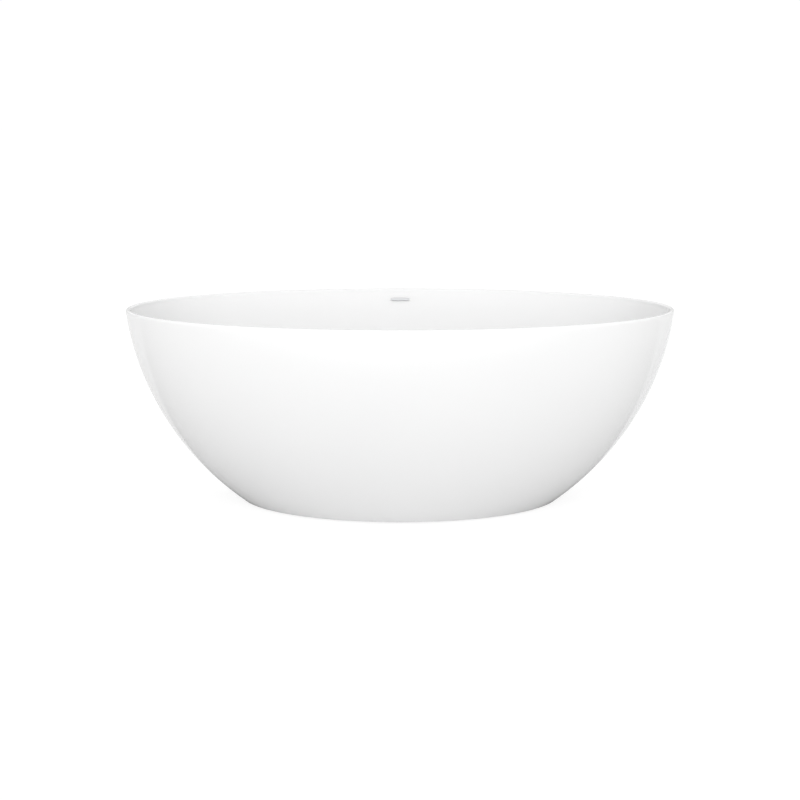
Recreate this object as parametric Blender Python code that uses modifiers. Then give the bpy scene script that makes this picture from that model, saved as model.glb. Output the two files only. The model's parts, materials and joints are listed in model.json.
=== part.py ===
"""Freestanding oval bathtub: two acrylic skins joined at a thin rim, on a levelled steel frame,
with a click-clack waste in the middle of the floor and a slim overflow in the rear wall.

Metres, +Z up. X runs along the bath and Y across it, with the overflow at +Y. The origin is on
the floor, under the middle of the bath. Every level is worked out from the rim downwards or
from the basin's floor downwards, so the pieces stay fitted when a size changes.
"""

from math import cos, pi, radians, sin, sqrt

import bmesh
import bpy
from mathutils import Matrix, Vector

# ---- overall sizes
LENGTH = 1.650
WIDTH = 0.780
HEIGHT = 0.590
BASE_LENGTH = 0.980
BASE_WIDTH = 0.580
SHADOW_GAP = 0.005  # between the skirt and the floor

# ---- the two skins
SKIRT_THICKNESS = 0.005
BASIN_THICKNESS = 0.006
BEAD_WIDTH = 0.002  # adhesive between the skins, under the rim
BEAD_DEPTH = 0.012
BEAD_GAP = 0.0006
# half axes that shrink by 1 bring an ellipse in by as little as this, square to its edge
TIGHTEST = 2 * sqrt(LENGTH * WIDTH) / (LENGTH + WIDTH)
RIM_THICKNESS = (SKIRT_THICKNESS + BASIN_THICKNESS) / TIGHTEST + BEAD_WIDTH + 2 * BEAD_GAP
RIM_CROWN = 0.007  # height of the rounded top of the rim
RIM_LAND = 0.0015  # flat strip each side of the joint line
SKIRT_LEAN_TOP = radians(6)  # wall angles are from the vertical
SKIRT_LEAN_BASE = radians(54)
LIP_WIDTH = 0.030  # flange turned in at the foot of the skirt
CAVITY_END = 0.051  # extra room between the skins at the foot of the basin's wall
CAVITY_SIDE = 0.089
CAVITY_END_POWER = 2.0  # how soon that room opens under the rim
CAVITY_SIDE_POWER = 1.2
FLOOR_HEIGHT = 0.122  # basin floor, at the edge of the drain recess
FLOOR_FALL = 0.004
FLOOR_LENGTH = 0.850
FLOOR_WIDTH = 0.290
FILLET_HEIGHT = 0.120

# ---- drain
RECESS_RADIUS = 0.058
RECESS_DEPTH = 0.005
SEAT_RADIUS = 0.040
DRAIN_HOLE_RADIUS = 0.0265
FLANGE_RADIUS = 0.036
FLANGE_THICKNESS = 0.0025
BARREL_RADIUS = 0.024
BARREL_BORE = 0.0205
BARREL_LENGTH = 0.035
FLANGE_EDGE = 0.001
UPPER_GASKET = 0.002
LOWER_GASKET = 0.003
GASKET_INSET = 0.002  # how far a gasket stops inside the edge of what presses it
LOCK_NUT_RADIUS = 0.037  # across the corners
LOCK_NUT_HEIGHT = 0.009
WASTE_RADIUS = 0.031
WASTE_WALL = 0.0025
WASTE_SHOULDER = 0.001  # under the barrel's end
OUTLET_RADIUS = 0.017
TAIL_WALL = 0.003
TAIL_FLANGE = 0.0055
TAIL_FLANGE_THICKNESS = 0.002
TAIL_GROUND_GAP = 0.006
TAIL_NUT_LIP = 0.003
TAIL_NUT_WALL = 0.004
TAIL_THREAD = 0.007

# ---- click-clack plug, shut
PLUG_RADIUS = 0.0315
PLUG_DOME = 0.005
PLUG_RIM_UNDER = 0.0015  # above the flange's top
PLUG_RIM = 0.0015
STEM_SOCKET = 0.004
SEAL_WIDTH = 0.003  # inside the barrel's bore
SEAT_FLARE = 0.007  # how far the flange's seat opens out
SEAT_HEIGHT = 0.005
STEM_RADIUS = 0.0025
PISTON_RADIUS = 0.0052
PISTON_LENGTH = 0.002
CUP_RADIUS = 0.0075
CUP_HEIGHT = 0.0195
CUP_FLOOR = 0.002
CUP_STUB = 0.002  # below the boss
BOSS_RADIUS = 0.0075
BOSS_HEIGHT = 0.006
BOSS_DROP = 0.026  # from the flange's top to the boss's top
ARM_WIDTH = 0.006
ARM_HEIGHT = 0.004
SPRING_WIRE = 0.0005
SPRING_TURNS = 4
SPRING_SPACE = 0.0047  # between the cup's floor and the piston

# ---- overflow
OVERFLOW_DROP = 0.032  # from the rim to the middle of the slot
SLOT_LENGTH = 0.056
SLOT_HEIGHT = 0.006
BAR_LENGTH = 0.062
BAR_HEIGHT = 0.007
BAR_THICKNESS = 0.0025
BAR_STAND_OFF = 0.004
BAR_EDGE = 0.0008
POST_RADIUS = 0.0016
POST_SPACING = 0.046
OVERFLOW_GASKET = 0.002
HOUSING_WIDTH = 0.076
HOUSING_ABOVE = 0.010  # from the middle of the slot, as far as the gasket reaches both ways
HOUSING_BELOW = 0.040  # at least: it reaches down to where the hose has room
HOUSING_WALL = 0.0016
HOUSING_TO_SKIRT = 0.0005
BRIDGE_THICKNESS = 0.0015
BRIDGE_HEIGHT = 0.008
BRIDGE_PAST_POST = 0.006
HOSE_RADIUS = 0.012
HOSE_WALL = 0.0025
SPIGOT_LENGTH = 0.024
CLIP_WIDTH = 0.009
CLIP_BAND = 0.0012
CLIP_SCREW_WIDTH = 0.006
CLIP_SCREW_LENGTH = 0.010
CLIP_TO_SKIN = 0.0012
HOSE_TO_SKIRT = 0.005
HOSE_BEND_RISE = 0.035  # where the hose turns in under the frame
HOSE_BEND_REACH = 0.075

# ---- frame and feet
BOARD_THICKNESS = 0.018
BOARD_OVERHANG = 0.010
BOARD_CORNER = 0.060
BOARD_TO_RECESS = 0.004
RAIL_SIZE = 0.030
RAIL_WALL = 0.002
RAIL_PAST_FOOT = 0.050
MID_MEMBER_X = 0.140
SCREW_RADIUS = 0.0025
SCREW_HEAD_RADIUS = 0.005
SCREW_HEAD_HEIGHT = 0.003
SCREW_BITE = 0.013
SCREW_POINT = 0.004
SCREW_X = 0.220
FOOT_ANGLE = radians(48.5)  # place of a foot round the base ellipse
FOOT_TO_LIP = 0.012
PAD_RADIUS = 0.025
PAD_HEIGHT = 0.012
PAD_SOCKET = 0.007
STUD_RADIUS = 0.006
STUD_LENGTH = 0.092
STUD_HEX_RADIUS = 0.0095
STUD_HEX_HEIGHT = 0.008
FOOT_NUT_RADIUS = 0.0105
FOOT_NUT_HEIGHT = 0.010
PLATE_THICKNESS = 0.004
PLATE_WIDTH = 0.050
STUD_TO_PLATE = 0.022
STRAP_THICKNESS = 0.003
STRAP_WIDTH = 0.030
STRAP_X = 0.160
STRAP_FOOT = 0.018
STRAP_TO_RAIL_EDGE = 0.004
BOND_PAD = 0.003
BOND_PAD_INSET = 0.002

# ---- fits and fineness
GAP = 0.0003  # between touching pieces
RUNNING = 0.0003  # between a moving piece and its guide
LOFT_SIDES = 48
TURN_STEPS = 20
HOSE_SIDES = 10
FOOT_PLACES = {
    "front_left": (-1, -1),
    "front_right": (1, -1),
    "rear_left": (-1, 1),
    "rear_right": (1, 1),
}

# ---- levels, worked out from the sizes above
WALL_TOP = HEIGHT - RIM_CROWN
FLOOR_EDGE = FLOOR_HEIGHT + FLOOR_FALL
FILLET_TOP = FLOOR_EDGE + FILLET_HEIGHT
SEAT_TOP = FLOOR_HEIGHT - RECESS_DEPTH
SEAT_UNDER = SEAT_TOP - BASIN_THICKNESS
FLANGE_UNDER = SEAT_TOP + UPPER_GASKET + 2 * GAP
FLANGE_TOP = FLANGE_UNDER + FLANGE_THICKNESS
BARREL_END = FLANGE_TOP - BARREL_LENGTH
NUT_TOP = SEAT_UNDER - LOWER_GASKET - 2 * GAP
WASTE_TOP = NUT_TOP - LOCK_NUT_HEIGHT - GAP
BOARD_TOP = FLOOR_HEIGHT - BASIN_THICKNESS - GAP
BOARD_UNDER = BOARD_TOP - BOARD_THICKNESS
RAIL_TOP = BOARD_UNDER - GAP
RAIL_UNDER = RAIL_TOP - RAIL_SIZE
HOSE_BORE = HOSE_RADIUS * cos(pi / HOSE_SIDES) - HOSE_WALL  # to its flats
SPIGOT_RADIUS = HOSE_BORE - GAP
PORT_Z = RAIL_UNDER - CLIP_BAND - HOSE_TO_SKIRT - HOSE_RADIUS
TAIL_NUT_TOP = PORT_Z - HOSE_RADIUS - CLIP_BAND - 3 * GAP
WASTE_UNDER = TAIL_NUT_TOP - TAIL_THREAD
BOSS_TOP = FLANGE_TOP - BOSS_DROP
SLOT_Z = HEIGHT - OVERFLOW_DROP
FOOT_X = (BASE_LENGTH / 2 - LIP_WIDTH - FOOT_TO_LIP - PAD_RADIUS) * cos(FOOT_ANGLE)
FOOT_Y = (BASE_WIDTH / 2 - LIP_WIDTH - FOOT_TO_LIP - PAD_RADIUS) * sin(FOOT_ANGLE)
RAIL_Y = FOOT_Y - STUD_TO_PLATE - PLATE_THICKNESS - GAP - RAIL_SIZE / 2
RAIL_HALF = FOOT_X + RAIL_PAST_FOOT
LIP_TOP = SHADOW_GAP + SKIRT_THICKNESS
BEAD_TOP = WALL_TOP - GAP
BEAD_UNDER = BEAD_TOP - BEAD_DEPTH


# ---- scene, materials and modifiers

def collection(name):
    made = bpy.data.collections.new(name)
    bpy.context.scene.collection.children.link(made)
    return made


for leftover in list(bpy.data.objects):
    bpy.data.objects.remove(leftover, do_unlink=True)
PARTS = collection("freestanding_bathtub")
CUTTERS = collection("cutters")


def finish(name, colour, roughness, metallic=0.0):
    made = bpy.data.materials.new(name)
    made.use_nodes = True
    shader = made.node_tree.nodes["Principled BSDF"]
    shader.inputs["Base Color"].default_value = (*colour, 1)
    shader.inputs["Roughness"].default_value = roughness
    shader.inputs["Metallic"].default_value = metallic
    return made


ACRYLIC = finish("white_acrylic", (0.90, 0.90, 0.90), 0.12)
CHROME = finish("chrome", (0.80, 0.80, 0.81), 0.08, 1.0)
BRASS = finish("brass", (0.71, 0.55, 0.28), 0.30, 1.0)
STEEL = finish("zinc_plated_steel", (0.60, 0.61, 0.62), 0.40, 1.0)
PAINTED = finish("frame_paint", (0.13, 0.13, 0.14), 0.45)
BOARD = finish("sealed_board", (0.62, 0.47, 0.30), 0.70)
RUBBER = finish("black_rubber", (0.03, 0.03, 0.03), 0.75)
SILICONE = finish("bonding_bead", (0.83, 0.83, 0.80), 0.60)
MOULDED = finish("grey_moulding", (0.30, 0.31, 0.33), 0.45)
HOSE = finish("hose_plastic", (0.68, 0.69, 0.70), 0.55)


def add_part(name, mesh, material, place=(0, 0, 0), smooth=True):
    """A named sub-part whose origin is at place."""
    if smooth:
        mesh.shade_smooth()
        mesh.set_sharp_from_angle(angle=radians(32))
    mesh.materials.clear()
    mesh.materials.append(material)
    part = bpy.data.objects.new(name, mesh)
    part.location = place
    PARTS.objects.link(part)
    return part


def add_cutter(name, mesh, place=(0, 0, 0)):
    cutter = bpy.data.objects.new(name, mesh)
    cutter.location = place
    cutter.hide_render = True
    cutter.display_type = "WIRE"
    CUTTERS.objects.link(cutter)
    return cutter


def boolean(part, tool, operation):
    step = part.modifiers.new(f"{operation.lower()} {tool.name}", "BOOLEAN")
    step.operation = operation
    step.solver = "EXACT"
    step.object = tool


def cut(part, tool):
    boolean(part, tool, "DIFFERENCE")


def join(part, tool):
    boolean(part, tool, "UNION")


def thicken(part, thickness):
    """Solidify away from the face side."""
    step = part.modifiers.new("thickness", "SOLIDIFY")
    step.thickness = thickness
    step.offset = -1
    step.use_even_offset = True


# ---- shapes

def box_mesh(name, size):
    mesh = bpy.data.meshes.new(name)
    shape = bmesh.new()
    bmesh.ops.create_cube(shape, size=1, matrix=Matrix.Diagonal((*size, 1)))
    shape.to_mesh(mesh)
    shape.free()
    return mesh


def cylinder_mesh(name, radius, length, axis="Z", sides=TURN_STEPS):
    """A cylinder centred on its origin, along Z or Y."""
    mesh = bpy.data.meshes.new(name)
    shape = bmesh.new()
    turn = Matrix.Rotation(-pi / 2, 4, "X") if axis == "Y" else Matrix.Identity(4)
    bmesh.ops.create_cone(
        shape, cap_ends=True, segments=sides, radius1=radius, radius2=radius, depth=length, matrix=turn
    )
    shape.to_mesh(mesh)
    shape.free()
    return mesh


def turned(name, profile, material, place=(0, 0, 0), closed=True, steps=TURN_STEPS):
    """A profile of (radius, z) turned about Z; its outer side runs downwards."""
    mesh = bpy.data.meshes.new(name)
    last = len(profile)
    edges = [(i, (i + 1) % last) for i in range(last if closed else last - 1)]
    mesh.from_pydata([(radius, 0, z) for radius, z in profile], edges, [])
    part = add_part(name, mesh, material, place, smooth=False)
    screw = part.modifiers.new("turn", "SCREW")
    screw.steps = steps
    screw.render_steps = steps
    screw.use_merge_vertices = True
    screw.merge_threshold = 0.00001
    return part


def flat_mesh(name, outlines, thickness):
    """Closed outlines in XY, the inner ones being holes, given a thickness about z = 0."""
    curve = bpy.data.curves.new(name, "CURVE")
    curve.dimensions = "2D"
    curve.fill_mode = "BOTH"
    curve.extrude = thickness / 2
    for outline in outlines:
        spline = curve.splines.new("POLY")
        spline.points.add(len(outline) - 1)
        for point, (x, y) in zip(spline.points, outline):
            point.co = (x, y, 0, 1)
        spline.use_cyclic_u = True
    guide = bpy.data.objects.new(name, curve)
    PARTS.objects.link(guide)
    bpy.context.view_layer.update()
    solid = guide.evaluated_get(bpy.context.evaluated_depsgraph_get())
    mesh = bpy.data.meshes.new_from_object(solid)
    mesh.name = name
    bpy.data.objects.remove(guide, do_unlink=True)
    shape = bmesh.new()
    shape.from_mesh(mesh)
    bmesh.ops.remove_doubles(shape, verts=shape.verts, dist=0.00001)
    shape.to_mesh(mesh)
    shape.free()
    return mesh


def across(mesh):
    """Stands a flat shape up: its x becomes Y, its y becomes Z, and its thickness runs along X."""
    mesh.transform(Matrix(((0, 0, 1, 0), (1, 0, 0, 0), (0, 1, 0, 0), (0, 0, 0, 1))))
    return mesh


def polygon(radius, sides, phase=0.0):
    angles = [phase + 2 * pi * i / sides for i in range(sides)]
    return [(radius * cos(angle), radius * sin(angle)) for angle in angles]


def rectangle(length, width):
    return [(sx * length / 2, sy * width / 2) for sx, sy in ((1, 1), (-1, 1), (-1, -1), (1, -1))]


def rounded_rectangle(length, width, radius, steps=5):
    points = []
    for quarter, (sx, sy) in enumerate(((1, 1), (-1, 1), (-1, -1), (1, -1))):
        centre = (sx * (length / 2 - radius), sy * (width / 2 - radius))
        for step in range(steps + 1):
            angle = pi / 2 * (quarter + step / steps)
            points.append((centre[0] + radius * cos(angle), centre[1] + radius * sin(angle)))
    return points


def elliptic_loft(name, stations, closed=False):
    """Ellipses of (half length, half width, z) joined in order; a downward run faces outwards."""
    mesh = bpy.data.meshes.new(name)
    shape = bmesh.new()
    rings = []
    for half_length, half_width, z in stations:
        angles = [2 * pi * i / LOFT_SIDES for i in range(LOFT_SIDES)]
        rings.append([shape.verts.new((half_length * cos(a), half_width * sin(a), z)) for a in angles])
    following = rings[1:] + rings[:1] if closed else rings[1:]
    for ring, below in zip(rings, following):
        for i in range(LOFT_SIDES):
            j = (i + 1) % LOFT_SIDES
            shape.faces.new((ring[i], below[i], below[j], ring[j]))
    shape.to_mesh(mesh)
    shape.free()
    return mesh


def sheet_strip(name, path, width, thickness, material, place=(0, 0, 0)):
    """A bent strip: a path of (y, z) given a width along X, then a thickness on its under side."""
    mesh = bpy.data.meshes.new(name)
    corners = [(side * width / 2, y, z) for y, z in path for side in (-1, 1)]
    faces = [(2 * i, 2 * i + 1, 2 * i + 3, 2 * i + 2) for i in range(len(path) - 1)]
    mesh.from_pydata(corners, [], faces)
    part = add_part(name, mesh, material, place, smooth=False)
    thicken(part, thickness)
    return part


# ---- the faces of the two skins

def arc_inset(depth, height, lean_top, lean_base):
    """How far a wall has come in at a depth, when its profile over the height is one arc."""
    radius = height / (sin(lean_base) - sin(lean_top))
    slope = sin(lean_top) + depth / radius
    return radius * (cos(lean_top) - sqrt(1 - slope * slope))


def skirt_halves(z):
    """Half length and half width of the skirt's outer face."""
    height = WALL_TOP - SHADOW_GAP
    whole = arc_inset(height, height, SKIRT_LEAN_TOP, SKIRT_LEAN_BASE)
    share = arc_inset(WALL_TOP - z, height, SKIRT_LEAN_TOP, SKIRT_LEAN_BASE) / whole
    half_length = LENGTH / 2 - share * (LENGTH - BASE_LENGTH) / 2
    half_width = WIDTH / 2 - share * (WIDTH - BASE_WIDTH) / 2
    return half_length, half_width


def basin_halves(z):
    """Half length and half width of the basin's inner face, down to its fillet."""
    above = 1 - (WALL_TOP - z) / (WALL_TOP - FILLET_TOP)
    half_length, half_width = skirt_halves(z)
    end_room = CAVITY_END * (1 - above**CAVITY_END_POWER)
    side_room = CAVITY_SIDE * (1 - above**CAVITY_SIDE_POWER)
    return half_length - RIM_THICKNESS - end_room, half_width - RIM_THICKNESS - side_room


def leans(halves, z):
    """How far a wall comes in for each metre that it drops, at its ends and at its sides."""
    step = 0.001
    return [(high - low) / step for high, low in zip(halves(z + step), halves(z))]


def basin_front(z):
    """Y of the basin's seen face, in the middle of the rear wall."""
    return basin_halves(z)[1]


def basin_back(z):
    """Y of the basin's hidden face, in the middle of the rear wall."""
    lean = leans(basin_halves, z)[1]
    return basin_halves(z)[1] + BASIN_THICKNESS * sqrt(1 + lean * lean)


def skirt_back(z):
    """Y of the skirt's hidden face, in the middle of the rear wall."""
    lean = leans(skirt_halves, z)[1]
    return skirt_halves(z)[1] - SKIRT_THICKNESS * sqrt(1 + lean * lean)


def rear_drop(x):
    """How far the faceted rear wall falls back at a distance x from its middle."""
    step = 2 * pi / LOFT_SIDES
    return WIDTH / 2 * (1 - cos(step)) * x / (LENGTH / 2 * sin(step))


def crown(inset_at_joint, direction):
    """Rim stations from the joint line over the rounded top to the wall."""
    half_rim = RIM_THICKNESS / 2 - GAP / 2
    stations = []
    for inset, drop in [(0, 0)] + [
        (RIM_LAND + (half_rim - RIM_LAND) * sin(turn), RIM_CROWN * (1 - cos(turn)))
        for turn in (0, pi / 6, pi / 3, pi / 2)
    ]:
        away = inset_at_joint + direction * inset
        stations.append((LENGTH / 2 - away, WIDTH / 2 - away, HEIGHT - drop))
    return stations


def wall_stations(halves, bottom, steps):
    """Down a wall from the foot of the bonding bead, which both skins have a level at."""
    levels = [BEAD_UNDER + (bottom - BEAD_UNDER) * step / steps for step in range(steps + 1)]
    return [(*halves(z), z) for z in levels]


def outer_skirt():
    stations = crown(RIM_THICKNESS / 2 - GAP / 2, -1)
    stations += wall_stations(skirt_halves, SHADOW_GAP, steps=9)
    stations.append((BASE_LENGTH / 2 - LIP_WIDTH, BASE_WIDTH / 2 - LIP_WIDTH, SHADOW_GAP))
    skirt = add_part("outer_skirt", elliptic_loft("outer_skirt", stations), ACRYLIC)
    thicken(skirt, SKIRT_THICKNESS)


def basin_fillet():
    """The curve from the wall to the floor, tangent to both."""
    wall_end = basin_halves(FILLET_TOP)
    floor_end = (FLOOR_LENGTH / 2, FLOOR_WIDTH / 2)
    steps = 6
    stations = []
    for step in range(1, steps + 1):
        share = step / steps
        halves = []
        for start, end, lean in zip(wall_end, floor_end, leans(basin_halves, FILLET_TOP)):
            corner = start - FILLET_HEIGHT * lean
            halves.append((1 - share) ** 2 * start + 2 * share * (1 - share) * corner + share**2 * end)
        stations.append((*halves, FLOOR_EDGE + FILLET_HEIGHT * (1 - share) ** 2))
    return stations


def inner_basin():
    stations = crown(RIM_THICKNESS / 2 + GAP / 2, 1)
    stations += wall_stations(basin_halves, FILLET_TOP, steps=5)
    stations += basin_fillet()
    middle = ((FLOOR_LENGTH / 2 + RECESS_RADIUS) / 2, (FLOOR_WIDTH / 2 + RECESS_RADIUS) / 2)
    stations.append((*middle, (FLOOR_EDGE + FLOOR_HEIGHT) / 2))
    stations.append((RECESS_RADIUS, RECESS_RADIUS, FLOOR_HEIGHT))
    stations.append((SEAT_RADIUS, SEAT_RADIUS, SEAT_TOP))
    stations.append((DRAIN_HOLE_RADIUS, DRAIN_HOLE_RADIUS, SEAT_TOP))
    basin = add_part("inner_basin", elliptic_loft("inner_basin", stations[::-1]), ACRYLIC)
    thicken(basin, BASIN_THICKNESS)
    cut(basin, slot_cutter("overflow_slot"))


def rim_bonding_bead():
    steepest = max(leans(basin_halves, BEAD_TOP))
    from_skirt = SKIRT_THICKNESS / TIGHTEST + BEAD_GAP
    from_basin = BASIN_THICKNESS / TIGHTEST * sqrt(1 + steepest * steepest) + BEAD_GAP
    corners = []
    for z in (BEAD_TOP, BEAD_UNDER):
        corners.append((*(half - from_skirt for half in skirt_halves(z)), z))
    for z in (BEAD_UNDER, BEAD_TOP):
        corners.append((*(half + from_basin for half in basin_halves(z)), z))
    add_part("rim_bonding_bead", elliptic_loft("rim_bonding_bead", corners, closed=True), SILICONE)


# ---- drain, waste and plug

def ring(name, inner, outer, bottom, top, material, steps=TURN_STEPS):
    return turned(name, [(outer, top), (outer, bottom), (inner, bottom), (inner, top)], material, steps=steps)


def drain_flange():
    seat = BARREL_BORE + SEAT_FLARE
    profile = [
        (FLANGE_RADIUS, FLANGE_TOP - FLANGE_EDGE),
        (FLANGE_RADIUS, FLANGE_UNDER),
        (BARREL_RADIUS, FLANGE_UNDER),
        (BARREL_RADIUS, BARREL_END),
        (BARREL_BORE, BARREL_END),
        (BARREL_BORE, FLANGE_TOP - SEAT_HEIGHT),
        (seat, FLANGE_TOP),
        (FLANGE_RADIUS - 2 * FLANGE_EDGE, FLANGE_TOP),
    ]
    flange = turned("drain_flange", profile, CHROME, steps=24)
    middle = BOSS_TOP - BOSS_HEIGHT / 2
    reach = BARREL_BORE + BARREL_RADIUS
    arm = box_mesh("flange_arm", (reach, ARM_WIDTH, ARM_HEIGHT))
    join(flange, add_cutter("flange_arm", arm, (0, 0, middle)))
    boss = cylinder_mesh("flange_boss", BOSS_RADIUS, BOSS_HEIGHT)
    join(flange, add_cutter("flange_boss", boss, (0, 0, middle)))
    hole = cylinder_mesh("boss_hole", PISTON_RADIUS, 2 * BOSS_HEIGHT)
    cut(flange, add_cutter("boss_hole", hole, (0, 0, middle)))


def drain_seals():
    ring("drain_upper_gasket", DRAIN_HOLE_RADIUS, FLANGE_RADIUS - GASKET_INSET,
         SEAT_TOP + GAP, SEAT_TOP + GAP + UPPER_GASKET, RUBBER)
    ring("drain_lower_gasket", BARREL_RADIUS + GAP, LOCK_NUT_RADIUS - GASKET_INSET,
         SEAT_UNDER - GAP - LOWER_GASKET, SEAT_UNDER - GAP, RUBBER)
    hexagon = [polygon(LOCK_NUT_RADIUS, 6), polygon(BARREL_RADIUS + GAP, TURN_STEPS)]
    add_part("drain_lock_nut", flat_mesh("drain_lock_nut", hexagon, LOCK_NUT_HEIGHT), BRASS,
             (0, 0, NUT_TOP - LOCK_NUT_HEIGHT / 2), smooth=False)


def waste_body():
    """A cup screwed on to the flange's barrel, with the overflow's spigot at the rear."""
    inside = WASTE_RADIUS - WASTE_WALL
    thread = BARREL_RADIUS + GAP
    profile = [
        (WASTE_RADIUS, WASTE_TOP),
        (WASTE_RADIUS, WASTE_UNDER),
        (OUTLET_RADIUS, WASTE_UNDER),
        (OUTLET_RADIUS, WASTE_UNDER + WASTE_WALL),
        (inside, WASTE_UNDER + 2 * WASTE_WALL),
        (inside, BARREL_END - 2 * WASTE_SHOULDER),
        (thread, BARREL_END - WASTE_SHOULDER),
        (thread, WASTE_TOP),
    ]
    body = turned("waste_body", profile, MOULDED)
    spigot = cylinder_mesh("waste_spigot", SPIGOT_RADIUS, WASTE_WALL + SPIGOT_LENGTH, "Y")
    middle = inside + WASTE_WALL / 5 + (WASTE_WALL + SPIGOT_LENGTH) / 2
    join(body, add_cutter("waste_spigot", spigot, (0, middle, PORT_Z)))
    bore = cylinder_mesh("waste_bore", SPIGOT_RADIUS - WASTE_WALL, 2 * SPIGOT_LENGTH, "Y")
    cut(body, add_cutter("waste_bore", bore, (0, middle, PORT_Z)))


def tailpiece():
    top = WASTE_UNDER - GAP
    pipe = OUTLET_RADIUS + TAIL_WALL
    rim = pipe + TAIL_FLANGE
    profile = [
        (rim, top),
        (rim, top - TAIL_FLANGE_THICKNESS),
        (pipe, top - TAIL_FLANGE_THICKNESS),
        (pipe, TAIL_GROUND_GAP),
        (OUTLET_RADIUS, TAIL_GROUND_GAP),
        (OUTLET_RADIUS, top),
    ]
    turned("tailpiece", profile, MOULDED)
    shelf = top - TAIL_FLANGE_THICKNESS - GAP
    thread = WASTE_RADIUS + GAP
    profile = [
        (thread + TAIL_NUT_WALL, TAIL_NUT_TOP),
        (thread + TAIL_NUT_WALL, shelf - TAIL_NUT_LIP),
        (pipe + GAP, shelf - TAIL_NUT_LIP),
        (pipe + GAP, shelf),
        (thread, shelf),
        (thread, TAIL_NUT_TOP),
    ]
    turned("tailpiece_nut", profile, MOULDED)


def plug():
    """The cap, seal and stem move together; the cup and the spring's foot stay in the flange."""
    place = Vector((0, 0, FLANGE_TOP))
    rim_top = PLUG_RIM_UNDER + PLUG_RIM
    steps = 5
    dome = [
        (PLUG_RADIUS * sin(pi / 2 * i / steps), rim_top + PLUG_DOME * cos(pi / 2 * i / steps))
        for i in range(steps + 1)
    ]
    socket = STEM_RADIUS + GAP
    under = [
        (PLUG_RADIUS, PLUG_RIM_UNDER),
        (2 * socket, PLUG_RIM_UNDER),
        (2 * socket, -STEM_SOCKET),
        (socket, -STEM_SOCKET),
        (socket, rim_top),
        (0, rim_top),
    ]
    turned("plug_cap", dome + under, CHROME, place, closed=False, steps=24)

    seat = BARREL_BORE + SEAT_FLARE
    depth = SEAT_HEIGHT * 0.6
    low = seat - SEAT_FLARE * depth / SEAT_HEIGHT
    clear = 1.5 * GAP
    inner = BARREL_BORE - SEAL_WIDTH
    profile = [
        (seat - clear, PLUG_RIM_UNDER - GAP),
        (seat - clear, 0),
        (low - clear, -depth),
        (inner, -depth),
        (inner, PLUG_RIM_UNDER - GAP),
    ]
    turned("plug_seal", profile, RUBBER, place)

    cup_floor = BOSS_TOP + GAP + CUP_FLOOR
    piston_under = cup_floor + SPRING_SPACE
    profile = [
        (0, rim_top - GAP + FLANGE_TOP),
        (STEM_RADIUS, rim_top - GAP + FLANGE_TOP),
        (STEM_RADIUS, piston_under + PISTON_LENGTH),
        (PISTON_RADIUS, piston_under + PISTON_LENGTH),
        (PISTON_RADIUS, piston_under),
        (0, piston_under),
    ]
    stem = [(radius, z - FLANGE_TOP) for radius, z in profile]
    turned("plug_stem", stem, BRASS, place, closed=False, steps=12)

    bore = PISTON_RADIUS + RUNNING
    thread = PISTON_RADIUS - GAP
    cup = [
        (0, cup_floor),
        (bore, cup_floor),
        (bore, BOSS_TOP + CUP_HEIGHT),
        (CUP_RADIUS, BOSS_TOP + CUP_HEIGHT),
        (CUP_RADIUS, BOSS_TOP + GAP),
        (thread, BOSS_TOP + GAP),
        (thread, BOSS_TOP - BOSS_HEIGHT - CUP_STUB),
        (0, BOSS_TOP - BOSS_HEIGHT - CUP_STUB),
    ]
    turned("plug_cartridge", cup, BRASS, closed=False, steps=16)
    plug_spring(cup_floor + GAP + SPRING_WIRE, piston_under - GAP - SPRING_WIRE)


def plug_spring(bottom, top):
    per_turn = 10
    radius = PISTON_RADIUS - SPRING_WIRE - GAP
    count = SPRING_TURNS * per_turn
    points = []
    for i in range(count + 1):
        angle = 2 * pi * i / per_turn
        points.append((radius * cos(angle), radius * sin(angle), bottom + (top - bottom) * i / count))
    tube_curve("plug_spring", points, SPRING_WIRE, STEEL, resolution=1)


def tube_curve(name, points, radius, material, resolution=2, capped=True):
    curve = bpy.data.curves.new(name, "CURVE")
    curve.dimensions = "3D"
    curve.bevel_depth = radius
    curve.bevel_resolution = resolution
    curve.use_fill_caps = capped
    spline = curve.splines.new("POLY")
    spline.points.add(len(points) - 1)
    for point, place in zip(spline.points, points):
        point.co = (*place, 1)
    curve.materials.append(material)
    tube = bpy.data.objects.new(name, curve)
    PARTS.objects.link(tube)
    return tube


# ---- overflow

def slot_cutter(name):
    """A slot with round ends, cut level through the rear wall and the gasket behind it."""
    round_end = SLOT_HEIGHT * 0.499  # a little under half, so that the ends' corners don't coincide
    outline = rounded_rectangle(SLOT_LENGTH, SLOT_HEIGHT, round_end, steps=4)
    mesh = flat_mesh(name, [outline], 4 * BASIN_THICKNESS)
    mesh.transform(Matrix.Rotation(pi / 2, 4, "X"))
    return add_cutter(name, mesh, (0, basin_back(SLOT_Z), SLOT_Z))


def wall_slab(name, face, near, far, low, high, width):
    """A slab that follows a leaning face(z) between two distances from it and two heights."""
    outline = [
        (face(low) + near, low),
        (face(low) + far, low),
        (face(high) + far, high),
        (face(high) + near, high),
    ]
    return across(flat_mesh(name, [outline], width))


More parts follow.
